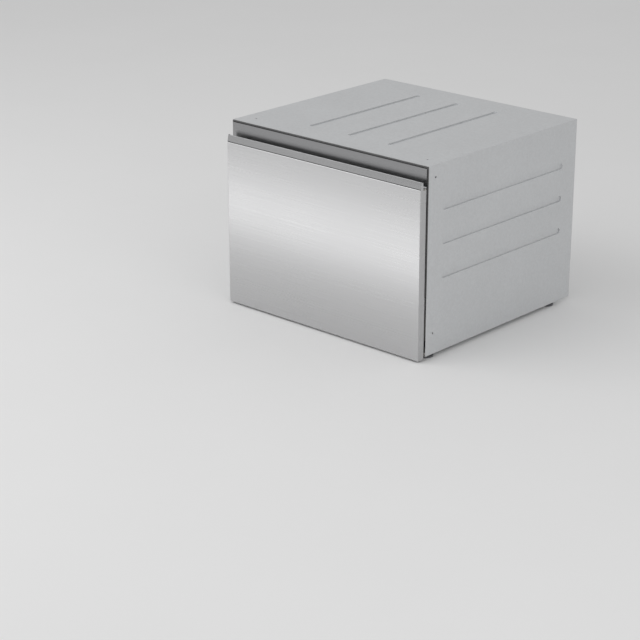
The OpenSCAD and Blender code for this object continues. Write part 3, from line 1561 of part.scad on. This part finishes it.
// Open basket with compartments and slotted walls
module cutlery_basket() color("slategray") {
  w = basket_w;
  d = basket_d;
  z0 = floor_wire_z + wire_d / 2 * flat + fit_gap;
  translate([basket_x, rack_y0 + frame_d / 2 + 1 + d / 2, z0]) {
    difference() {
      linear_extrude(basket_h) round_rect(w, d, 5);
      for (i = [0:basket_n - 1])
        translate([(i - (basket_n - 1) / 2) * (w - 1.6) / basket_n, 0, 1.8])
          linear_extrude(basket_h) round_rect((w - 1.6) / basket_n - 1.6, d - 3.2, 3);
      for (i = [0:basket_n - 1], j = [-2:2], k = [0:1])
        translate([(i - (basket_n - 1) / 2) * (w - 1.6) / basket_n + j * 7, 0,
                   11 + basket_slot_h / 2 + k * (basket_slot_h + 10)])
          along_y(-d, d) rotate(90) slot(basket_slot_h, 3.6);
    }
  }
}

left_side_panel();
right_side_panel();
top_panel();
rear_panel();
base_tray();
front_seal();
chassis_screws();
inlet_valve();
drain_outlet();
mains_gland();
power_module();
flood_float();
foot_front_left();
foot_front_right();
foot_rear_left();
foot_rear_right();
outer_rails();
middle_rails();
outer_ball_cages();
inner_ball_cages();
inner_rails();
runner_brackets();
lid_pan();
lid_seal();
lid_guides();
lid_sliders();
lid_pinions();
lid_motors();
lower_link_arm();
upper_link_arm();
front_panel();
panel_backing();
finger_lip();
handle_channel();
door_liner();
inner_door();
control_strip();
power_key();
program_key();
delay_key();
start_key();
control_board();
drying_fan_case();
fan_rotor();
detergent_dispenser();
detergent_cover();
rinse_aid_cap();
tub();
wash_unit();
wash_rotor();
spray_arm();
filter_plate();
drain_filter();
drain_pump();
base_rack();
front_tines();
rear_tines();
left_cup_shelf();
right_cup_shelf();
cutlery_basket();
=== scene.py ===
"""Looks of the dishwasher drawer: finishes, floor, light and camera round the CAD parts."""

import json
import math

import bmesh
import bpy
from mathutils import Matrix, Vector


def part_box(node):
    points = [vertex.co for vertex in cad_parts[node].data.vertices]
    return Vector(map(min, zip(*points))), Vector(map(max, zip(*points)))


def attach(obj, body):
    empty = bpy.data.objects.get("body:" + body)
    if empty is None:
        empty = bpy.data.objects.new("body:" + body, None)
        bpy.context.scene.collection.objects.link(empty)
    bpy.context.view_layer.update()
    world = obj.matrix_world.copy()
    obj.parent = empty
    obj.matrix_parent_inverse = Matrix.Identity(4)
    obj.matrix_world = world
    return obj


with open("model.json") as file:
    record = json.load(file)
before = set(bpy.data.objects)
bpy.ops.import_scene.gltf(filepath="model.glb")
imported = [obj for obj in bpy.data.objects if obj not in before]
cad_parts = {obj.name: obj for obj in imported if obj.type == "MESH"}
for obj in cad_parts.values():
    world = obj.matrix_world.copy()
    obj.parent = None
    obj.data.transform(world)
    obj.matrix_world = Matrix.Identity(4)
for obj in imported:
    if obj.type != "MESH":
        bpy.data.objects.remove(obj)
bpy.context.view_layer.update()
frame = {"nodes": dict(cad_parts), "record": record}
nodes = frame["nodes"]

# ---------------------------------------------------------------- shader maths


class Wire:
    """One output of a shader node. Arithmetic on it adds Math nodes."""

    def __init__(self, finish, socket):
        self.finish = finish
        self.socket = socket

    def math(self, operation, *values):
        return self.finish.node("Math", {"operation": operation}, values)

    def __add__(self, other):
        return self.math("ADD", self, other)

    def __sub__(self, other):
        return self.math("SUBTRACT", self, other)

    def __rsub__(self, other):
        return self.math("SUBTRACT", other, self)

    def __mul__(self, other):
        return self.math("MULTIPLY", self, other)

    def __truediv__(self, other):
        return self.math("DIVIDE", self, other)

    def __gt__(self, other):
        return self.math("GREATER_THAN", self, other)

    def __lt__(self, other):
        return self.math("LESS_THAN", self, other)

    __radd__ = __add__
    __rmul__ = __mul__


class Finish:
    """A material with one Principled shader."""

    def __init__(self, name, colour, **constants):
        self.material = bpy.data.materials.new(name)
        self.material.use_nodes = True
        self.tree = self.material.node_tree
        self.shader = self.tree.nodes["Principled BSDF"]
        self.shader.inputs["Base Color"].default_value = (*colour, 1)
        for socket, value in constants.items():
            self.shader.inputs[socket.replace("_", " ")].default_value = value

    def node(self, kind, settings=None, inputs=(), out=0):
        """Adds a node: first its settings, then the values or wires of its sockets."""
        n = self.tree.nodes.new("ShaderNode" + kind)
        for key, value in (settings or {}).items():
            setattr(n, key, value)
        pairs = inputs.items() if isinstance(inputs, dict) else enumerate(inputs)
        for key, value in pairs:
            if isinstance(value, Wire):
                self.tree.links.new(value.socket, n.inputs[key])
            else:
                n.inputs[key].default_value = value
        return Wire(self, n.outputs[out])

    def place(self, stretch=(1, 1, 1)):
        """Points of the object in metres, stretched along its axes."""
        at = self.node("TexCoord", out="Object")
        return self.node("Mapping", {}, {"Vector": at, "Scale": stretch})

    def axes(self):
        """The point's x, y and z in metres, each on its own wire."""
        apart = self.node("SeparateXYZ", {}, (self.place(),)).socket.node
        return [Wire(self, socket) for socket in apart.outputs]

    def noise(self, scale, stretch=(1, 1, 1), detail=3.0, roughness=0.5, out="Fac"):
        return self.node(
            "TexNoise",
            {},
            {"Vector": self.place(stretch), "Scale": scale, "Detail": detail, "Roughness": roughness},
            out,
        )

    def mix(self, share, a, b):
        """Colour a where share is 0, colour b where it is 1."""
        a, b = [(*c, 1) if isinstance(c, tuple) else c for c in (a, b)]
        return self.node("Mix", {"data_type": "RGBA"}, {0: share, 6: a, 7: b}, out=2)

    def spread(self, value, low, high):
        """value from 0 to 1 laid over low to high."""
        return value * (high - low) + low

    def feed(self, socket, wire):
        self.tree.links.new(wire.socket, self.shader.inputs[socket])

    def bump(self, height, strength, depth):
        wire = self.node("Bump", {}, {"Strength": strength, "Distance": depth, "Height": height})
        self.feed("Normal", wire)


def fract(value):
    """What is left of a value above its whole number."""
    return value.math("FRACT", value)


def shade(colour, factor):
    """A colour made darker or lighter, with no channel above 1."""
    return tuple(min(1.0, c * factor) for c in colour)


# ---------------------------------------------------------------- finishes

FRONT_STEEL = (0.58, 0.58, 0.585)
LIP_STEEL = (0.45, 0.45, 0.455)
# painted shade: the handle channel gets a darker steel than the front, standing in for the shade in its recess
CHANNEL_STEEL_PAINTED_SHADE = (0.30, 0.30, 0.305)
FILTER_STEEL = (0.6, 0.6, 0.605)
WIRE_GREY = (0.44, 0.46, 0.49)
# Painted shade: the joint of lip and panel is painted near black, and made rougher, where the groove lies in
# shade. The band reaches the depth below under the panel's top and the height below over the lip's foot, in
# metres, and PAST_SHEET takes the other end of each range clear of the surface.
GROOVE_PAINTED_SHADE = (0.02, 0.02, 0.022)
PAINTED_SHADE_DEPTH = 0.00025
PAINTED_SHADE_H = 0.00138
PAST_SHEET = 0.001
HOLE_DARK = (0.03, 0.03, 0.035)


def brushed_steel(name, colour, grain=(0.9, 3, 1300), rough=0.28, painted_shade_band=None):
    """Stainless sheet with fine level brushing: long streaks a fraction of a millimetre high.

    The last argument is a range of heights painted near black and rougher: painted shade in the joint of lip
    and panel.
    """
    f = Finish(name, colour, Metallic=1.0, Roughness=rough, Anisotropic=0.5, Anisotropic_Rotation=0.25)
    fine = f.noise(1.0, grain, detail=6.0, roughness=0.65)
    coarse = f.noise(1.0, [g * 0.45 for g in grain], detail=3.0)
    streak = fine * 0.75 + coarse * 0.25
    cloud = f.noise(4.0, detail=2.0)
    metal = f.mix(streak, shade(colour, 0.88), shade(colour, 1.10))
    gloss = f.spread(streak, rough + 0.07, rough - 0.06) + cloud * 0.03 - 0.015
    if painted_shade_band:
        # painted shade: the band of the joint that lies in shade is painted near black and made rougher
        z = f.axes()[2]
        painted_shade = (z > painted_shade_band[0]) * (z < painted_shade_band[1])
        metal = f.mix(painted_shade, metal, GROOVE_PAINTED_SHADE)
        gloss = gloss + painted_shade * 0.4
    f.feed("Base Color", metal)
    f.feed("Roughness", gloss)
    f.bump(streak, 0.08, 0.0002)
    return f


def galvanised(name, colour):
    """Zinc-coated sheet: faint spangle in patches a few millimetres wide, dull bloom and rolling marks."""
    f = Finish(name, colour, Metallic=0.6, Roughness=0.52)
    at = f.place()
    warp = f.noise(60.0, detail=2.0, out="Color")
    where = f.node("VectorMath", {"operation": "MULTIPLY_ADD"}, (warp, (0.006, 0.006, 0.006), at))
    cell = f.node("TexVoronoi", {}, {"Vector": where, "Scale": 210.0}, out="Color")
    grey = f.node("SeparateColor", {}, (cell,), out=0)
    bloom = f.noise(7.0, detail=5.0)
    tone = grey * 0.45 + bloom * 0.55
    f.feed("Base Color", f.mix(tone, shade(colour, 0.92), shade(colour, 1.06)))
    f.feed("Roughness", f.spread(grey * 0.5 + bloom * 0.5, 0.48, 0.6))
    f.bump(f.noise(300.0, detail=3.0) * 0.6 + grey * 0.4, 0.08, 0.0003)
    return f


def zinc_plate(name, colour, grain=(3, 260, 260)):
    """Bright plated steel with drawing marks along the part and a few dull spots."""
    f = Finish(name, colour, Metallic=1.0, Roughness=0.27)
    lines = f.noise(1.0, grain, detail=4.0)
    dull = f.noise(35.0, detail=4.0)
    f.feed("Base Color", f.mix(lines * 0.5 + dull * 0.5, shade(colour, 0.82), shade(colour, 1.12)))
    f.feed("Roughness", f.spread(dull, 0.16, 0.42))
    f.bump(lines, 0.06, 0.0002)
    return f


def moulded(name, colour, grain=1400.0, rough=0.48, depth=0.12, coat=0.0):
    """Injection-moulded plastic: spark-eroded grain, faint flow marks, a little polish on the high spots."""
    f = Finish(name, colour, Roughness=rough, Specular_IOR_Level=0.45, Coat_Weight=coat)
    skin = f.noise(grain, detail=2.0)
    flow = f.noise(14.0, (1, 1, 0.35), detail=4.0)
    f.feed("Base Color", f.mix(flow, shade(colour, 0.93), shade(colour, 1.05)))
    f.feed("Roughness", f.spread(skin * 0.5 + flow * 0.5, rough - 0.08, rough + 0.1))
    f.bump(skin, depth, 0.0002)
    return f


def coated_wire(name, colour):
    """Nylon dip over steel wire: smooth, slightly wavy skin."""
    f = Finish(name, colour, Roughness=0.32, Coat_Weight=0.25, Coat_Roughness=0.2)
    wave = f.noise(160.0, detail=2.0)
    flow = f.noise(22.0, detail=3.0)
    f.feed("Base Color", f.mix(flow, shade(colour, 0.93), shade(colour, 1.06)))
    f.feed("Roughness", f.spread(wave, 0.26, 0.4))
    f.bump(wave, 0.10, 0.0004)
    return f


def strainer(name, colour, pitch=0.0024, bore=0.3, upright=False):
    """Steel or plastic with rows of fine holes, on the level or round an upright cup."""
    f = Finish(name, colour, Metallic=0.0, Roughness=0.4)
    x, y, z = f.axes()
    if upright:
        low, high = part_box(name)
        mx, my = [(a + b) / 2 for a, b in zip(low[:2], high[:2])]
        radius = (high[0] - low[0]) / 2
        u = x.math("ARCTAN2", y - my, x - mx) * radius
        v = z
    else:
        u, v = x, y
    du = fract(u / pitch) - 0.5
    dv = fract(v / pitch) - 0.5
    hole = (du * du + dv * dv) < bore * bore
    wear = f.noise(60.0, detail=4.0)
    ground = f.mix(wear, shade(colour, 0.85), shade(colour, 1.1))
    f.feed("Base Color", f.mix(hole, ground, HOLE_DARK))
    f.feed("Roughness", f.spread(wear, 0.3, 0.45) + hole * 0.4)
    if not upright:
        f.feed("Metallic", 1 - hole)
    f.bump(1 - hole, 0.5, 0.0004)
    return f


def rubber(name, colour):
    """Extruded rubber: matte, with bloom and fine lines along the profile."""
    f = Finish(name, colour, Roughness=0.72, Specular_IOR_Level=0.35)
    bloom = f.noise(70.0, detail=5.0)
    skin = f.noise(1100.0, detail=2.0)
    f.feed("Base Color", f.mix(bloom, shade(colour, 0.8), shade(colour, 1.35)))
    f.feed("Roughness", f.spread(bloom, 0.62, 0.82))
    f.bump(skin, 0.15, 0.0002)
    return f


def pressed_board(name, colour):
    """Fibre board: flecks of chip in a brown ground."""
    f = Finish(name, colour, Roughness=0.8)
    fleck = f.node("TexVoronoi", {}, {"Vector": f.place((1, 1, 2.5)), "Scale": 420.0}, out="Color")
    grey = f.node("SeparateColor", {}, (fleck,), out=0)
    f.feed("Base Color", f.mix(grey, shade(colour, 0.72), shade(colour, 1.2)))
    f.feed("Roughness", f.spread(grey, 0.7, 0.9))
    f.bump(grey, 0.2, 0.0003)
    return f


def circuit_board(name, colour):
    """Green lacquer over copper tracks that run square to each other."""
    f = Finish(name, colour, Roughness=0.35, Coat_Weight=0.3)
    track = f.node(
        "TexBrick",
        {"offset": 0.35, "squash": 0.6, "squash_frequency": 3},
        {"Vector": f.place(), "Scale": 160.0, "Mortar Size": 0.035, "Brick Width": 0.9, "Row Height": 0.16},
        out="Fac",
    )
    f.feed("Base Color", f.mix(track, shade(colour, 0.75), shade(colour, 1.7)))
    f.feed("Roughness", f.spread(track, 0.42, 0.26))
    f.bump(track, 0.2, 0.0002)
    return f


def gloss_black(name, colour):
    """Polished dark plastic with the faintest ripple and wiping marks."""
    f = Finish(name, colour, Roughness=0.12, Coat_Weight=0.5, Coat_Roughness=0.05)
    wipe = f.noise(30.0, (1, 3, 1), detail=5.0)
    f.feed("Base Color", f.mix(wipe, shade(colour, 0.9), shade(colour, 1.25)))
    f.feed("Roughness", f.spread(wipe, 0.08, 0.2))
    f.bump(f.noise(25.0), 0.03, 0.0005)
    return f


# ---------------------------------------------------------------- each CAD part and its finish

STEEL_SHEET = ("left_side_panel", "right_side_panel", "top_panel", "rear_panel", "lid_guides",
               "runner_brackets", "door_liner")
RUNNERS = ("outer_rails", "middle_rails", "inner_rails", "outer_ball_cages", "inner_ball_cages")
RACK_WIRES = ("base_rack", "front_tines", "rear_tines")

colours = {m["slot"]: tuple(m["base_color"]) for m in frame["record"]["materials"]}


def finish_for(node):
    """The finish that a part has on the real machine."""
    colour = colours[node]
    low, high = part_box(node)
    if node == "front_panel":
        # painted shade along the back of the panel's top bend, under the lip
        return brushed_steel(node, FRONT_STEEL, painted_shade_band=(high[2] - PAINTED_SHADE_DEPTH, high[2] + PAST_SHEET))
    if node == "finger_lip":
        # painted shade on the lip's foot and underside, over the panel's top
        return brushed_steel(node, LIP_STEEL, painted_shade_band=(low[2] - PAST_SHEET, low[2] + PAINTED_SHADE_H))
    if node == "handle_channel":
        # darker steel as painted shade for the recess behind the lip
        return brushed_steel(node, CHANNEL_STEEL_PAINTED_SHADE)
    if node == "filter_plate":
        return strainer(node, FILTER_STEEL)
    if node == "drain_filter":
        return strainer(node, colour, pitch=0.0016, bore=0.28, upright=True)
    if node in STEEL_SHEET:
        return galvanised(node, colour)
    if node in RUNNERS:
        return zinc_plate(node, colour, grain=(260, 3, 260))
    if node == "chassis_screws":
        return zinc_plate(node, colour, grain=(200, 200, 200))
    if node in RACK_WIRES:
        return coated_wire(node, WIRE_GREY)
    if node in ("front_seal", "lid_seal"):
        return rubber(node, colour)
    if node == "panel_backing":
        return pressed_board(node, colour)
    if node == "control_board":
        return circuit_board(node, colour)
    if node == "control_strip":
        return gloss_black(node, colour)
    if node in ("left_cup_shelf", "right_cup_shelf", "cutlery_basket"):
        return moulded(node, colour, grain=900.0, rough=0.38, depth=0.08, coat=0.1)
    if node in ("lid_sliders", "lid_pinions"):
        return moulded(node, colour, grain=700.0, rough=0.36, depth=0.06)
    if node in ("tub", "lid_pan", "inner_door"):
        return moulded(node, colour, grain=1100.0, rough=0.34, depth=0.08, coat=0.15)
    if node == "rinse_aid_cap":
        return moulded(node, colour, grain=800.0, rough=0.25, depth=0.05, coat=0.4)
    return moulded(node, colour)


for name, part in nodes.items():
    material = finish_for(name).material
    part.data.materials.clear()
    part.data.materials.append(material)

# ---------------------------------------------------------------- printed marks of the controls

MM = 0.001
INK_H = 0.0001       # ink on a key
LIT_H = 0.00008      # lit segment
LIT_SUNK = 0.0003    # lit segments lie this far under the strip's top
DISPLAY_X = 0.09     # middle of the window, across the door
STROKE = 0.5         # width of a key mark's line, in millimetres
PAUSE_STROKE = 0.8
DOT_STROKE = 0.7


def printed(name, colour, glow=0.0):
    """Screen-printed ink or a lit segment: thin, with the slight unevenness of the print."""
    f = Finish(name, colour, Roughness=0.5, Emission_Strength=glow)
    speck = f.noise(900.0, detail=3.0)
    f.feed("Base Color", f.mix(speck, shade(colour, 0.9), shade(colour, 1.05)))
    f.feed("Roughness", f.spread(speck, 0.42, 0.6))
    if glow:
        f.feed("Emission Color", f.mix(speck, shade(colour, 0.9), colour))
    f.bump(speck, 0.05, 0.0001)
    return f


def flat_marks(name, body, finish, outlines, centre, height):
    """Closed outlines in millimetres round a point on a level surface, raised by height in metres."""
    mesh = bpy.data.meshes.new(name)
    b = bmesh.new()
    x0, y0, z0 = centre
    for outline in outlines:
        low = [b.verts.new((x0 + x * MM, y0 + y * MM, z0)) for x, y in outline]
        high = [b.verts.new((x0 + x * MM, y0 + y * MM, z0 + height)) for x, y in outline]
        b.faces.new(low)
        b.faces.new(high)
        for i, corner in enumerate(low):
            j = (i + 1) % len(low)
            b.faces.new((corner, low[j], high[j], high[i]))
    bmesh.ops.recalc_face_normals(b, faces=b.faces)
    b.to_mesh(mesh)
    b.free()
    piece = bpy.data.objects.new(name, mesh)
    bpy.context.scene.collection.objects.link(piece)
    mesh.materials.append(finish.material)
    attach(piece, body)


def bar(x0, y0, x1, y1, width):
    """Outline of a straight stroke."""
    along = Vector((x1 - x0, y1 - y0)).normalized() * (width / 2)
    ox, oy = -along.y, along.x
    return [(x0 + ox, y0 + oy), (x0 - ox, y0 - oy), (x1 - ox, y1 - oy), (x1 + ox, y1 + oy)]


def arc(radius, width, start=0.0, sweep=360.0, steps=36):
    """Outlines of a curved stroke, one per step, so a full ring stays open in the middle."""
    turns = [math.radians(start + sweep * i / steps) for i in range(steps + 1)]
    strokes = []
    for a0, a1 in zip(turns, turns[1:]):
        strokes.append([
            ((radius + o) * math.cos(a), (radius + o) * math.sin(a))
            for a, o in ((a0, -width / 2), (a0, width / 2), (a1, width / 2), (a1, -width / 2))
        ])
    return strokes


def key_marks(key, ink, outlines):
    """A mark in the middle of a key's top, which goes down with the key."""
    low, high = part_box(key)
    centre = ((low[0] + high[0]) / 2, (low[1] + high[1]) / 2, high[2])
    flat_marks(key + "_mark", key, ink, outlines, centre, INK_H)


def key_symbols():
    """Open ring with a bar, two rings, a clock face, and a triangle with two bars."""
    ink = printed("key_ink", (0.12, 0.12, 0.13))
    ring = arc(2.8, STROKE)
    hands = [bar(0, -0.2, 0, 2.0, STROKE), bar(-0.2, 0, 1.5, 0, STROKE)]
    triangle = [(-3.2, -2.2), (0.6, 0), (-3.2, 2.2)]
    pause = [bar(x, -2.2, x, 2.2, PAUSE_STROKE) for x in (1.6, 3.2)]
    key_marks("power_key", ink, arc(2.5, STROKE, start=120, sweep=300) + [bar(0, 0.6, 0, 3.4, STROKE)])
    key_marks("program_key", ink, ring + arc(1.5, STROKE))
    key_marks("delay_key", ink, ring + hands)
    key_marks("start_key", ink, [triangle] + pause)


def digit(figure, x):
    """A seven-segment figure whose middle is at x; w and h are half its width and height."""
    w, h, t = 1.6, 2.8, 0.55
    segments = {
        "top": bar(-w + t, h, w - t, h, t), "middle": bar(-w + t, 0, w - t, 0, t),
        "low": bar(-w + t, -h, w - t, -h, t), "upper_left": bar(-w, t, -w, h - t, t),
        "upper_right": bar(w, t, w, h - t, t), "lower_left": bar(-w, -h + t, -w, -t, t),
        "lower_right": bar(w, -h + t, w, -t, t),
    }
    lit = {
        1: ("upper_right", "lower_right"),
        2: ("top", "upper_right", "middle", "lower_left", "low"),
        5: ("top", "upper_left", "middle", "lower_right", "low"),
    }[figure]
    return [[(px + x, py) for px, py in segments[s]] for s in lit]


def display_figures():
    """Time left, and three dashes beside it, lit under the window of the control strip."""
    strip_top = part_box("control_strip")[1][2]
    key_low, key_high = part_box("start_key")
    centre = (DISPLAY_X, (key_low[1] + key_high[1]) / 2, strip_top - LIT_SUNK)
    colon = [bar(-4.6, y - 0.35, -4.6, y + 0.35, DOT_STROKE) for y in (-1.2, 1.2)]
    dashes = [bar(x, -2.6, x + 3, -2.6, DOT_STROKE) for x in (-26, -21, -16)]
    shapes = digit(2, -7.6) + colon + digit(1, -1.9) + digit(5, 3.4) + dashes
    lit = printed("lit_figures", (0.75, 0.86, 0.95), glow=1.2)
    flat_marks("display_figures", "drawer", lit, shapes, centre, LIT_H)


key_symbols()
display_figures()

# ---------------------------------------------------------------- floor, light, camera

FLOOR_REACH = 14       # metres from the middle to each edge
SENSOR_MM = 36
FRAME_PIXELS = 640
AIM = (0, 0, 0.2)      # near the middle of the machine
FRONT_PIECES = ("front_panel", "finger_lip", "handle_channel")


def pale_floor():
    """Wide level floor that holds the object's shadow."""
    mesh = bpy.data.meshes.new("floor")
    b = bmesh.new()
    bmesh.ops.create_grid(b, x_segments=24, y_segments=24, size=FLOOR_REACH)
    b.to_mesh(mesh)
    b.free()
    floor = bpy.data.objects.new("floor", mesh)
    bpy.context.scene.collection.objects.link(floor)
    f = Finish("floor", (0.82, 0.82, 0.82), Roughness=0.75, Specular_IOR_Level=0.2)
    grain = f.noise(3.0, detail=4.0)
    f.feed("Base Color", f.mix(grain, (0.81, 0.81, 0.81), (0.83, 0.83, 0.83)))
    mesh.materials.append(f.material)


def soft_lamp(name, place, aim, size, power):
    """A rectangular lamp, its size in metres and its power in watts, that the camera doesn't see."""
    data = bpy.data.lights.new(name, "AREA")
    data.shape = "RECTANGLE"
    data.size, data.size_y = size
    data.energy = power
    lamp = bpy.data.objects.new(name, data)
    bpy.context.scene.collection.objects.link(lamp)
    lamp.location = place
    lamp.rotation_euler = (Vector(aim) - Vector(place)).to_track_quat("-Z", "Y").to_euler()
    lamp.visible_camera = False
    return lamp


def lights_only(lamp, names):
    """Keeps a lamp's light on the named CAD nodes."""
    lit = bpy.data.collections.new(lamp.name + "_lit")
    for name in names:
        lit.objects.link(nodes[name])
    lamp.light_linking.receiver_collection = lit


def pale_world(strength, seen):
    """Even light from all round; the camera and shiny surfaces see a plain pale background."""
    world = bpy.data.worlds.new("studio")
    bpy.context.scene.world = world
    world.use_nodes = True
    tree = world.node_tree
    link = tree.links.new
    light = tree.nodes["Background"]
    light.inputs["Color"].default_value = (1, 1, 1, 1)
    light.inputs["Strength"].default_value = strength
    plain = tree.nodes.new("ShaderNodeBackground")
    plain.inputs["Color"].default_value = (seen, seen, seen, 1)
    path = tree.nodes.new("ShaderNodeLightPath")
    looks = path.outputs["Is Camera Ray"]
    for ray in ("Is Glossy Ray", "Is Transmission Ray"):
        either = tree.nodes.new("ShaderNodeMath")
        either.operation = "MAXIMUM"
        link(looks, either.inputs[0])
        link(path.outputs[ray], either.inputs[1])
        looks = either.outputs[0]
    mix = tree.nodes.new("ShaderNodeMixShader")
    link(looks, mix.inputs[0])
    link(light.outputs[0], mix.inputs[1])
    link(plain.outputs[0], mix.inputs[2])
    link(mix.outputs[0], tree.nodes["World Output"].inputs["Surface"])


def camera_at(place, yaw, pitch, pixels):
    """A camera turned left by yaw and down by pitch, in degrees; pixels is its focal length in the frame."""
    data = bpy.data.cameras.new("camera")
    data.sensor_width = SENSOR_MM
    data.lens = SENSOR_MM * pixels / FRAME_PIXELS
    data.clip_end = 100
    camera = bpy.data.objects.new("camera", data)
    bpy.context.scene.collection.objects.link(camera)
    camera.location = place
    camera.rotation_euler = (math.radians(90 - pitch), 0, math.radians(yaw))
    bpy.context.scene.camera = camera


pale_floor()
pale_world(strength=0.62, seen=0.56)
soft_lamp("key", (-1.6, -2.4, 2.6), AIM, size=(3.6, 2.8), power=44)
soft_lamp("fill", (3.0, -1.2, 1.8), AIM, size=(2.4, 2.4), power=14)
low_strip = soft_lamp("low_strip", (-0.3, -0.735, 0.065), (-0.3, -0.3, 0.45), size=(1.7, 0.13), power=0.7)
lights_only(low_strip, FRONT_PIECES)
camera_at((2.871, -3.417, 1.625), yaw=42.52, pitch=20.59, pixels=1944)
bpy.context.scene.view_settings.view_transform = "Standard"
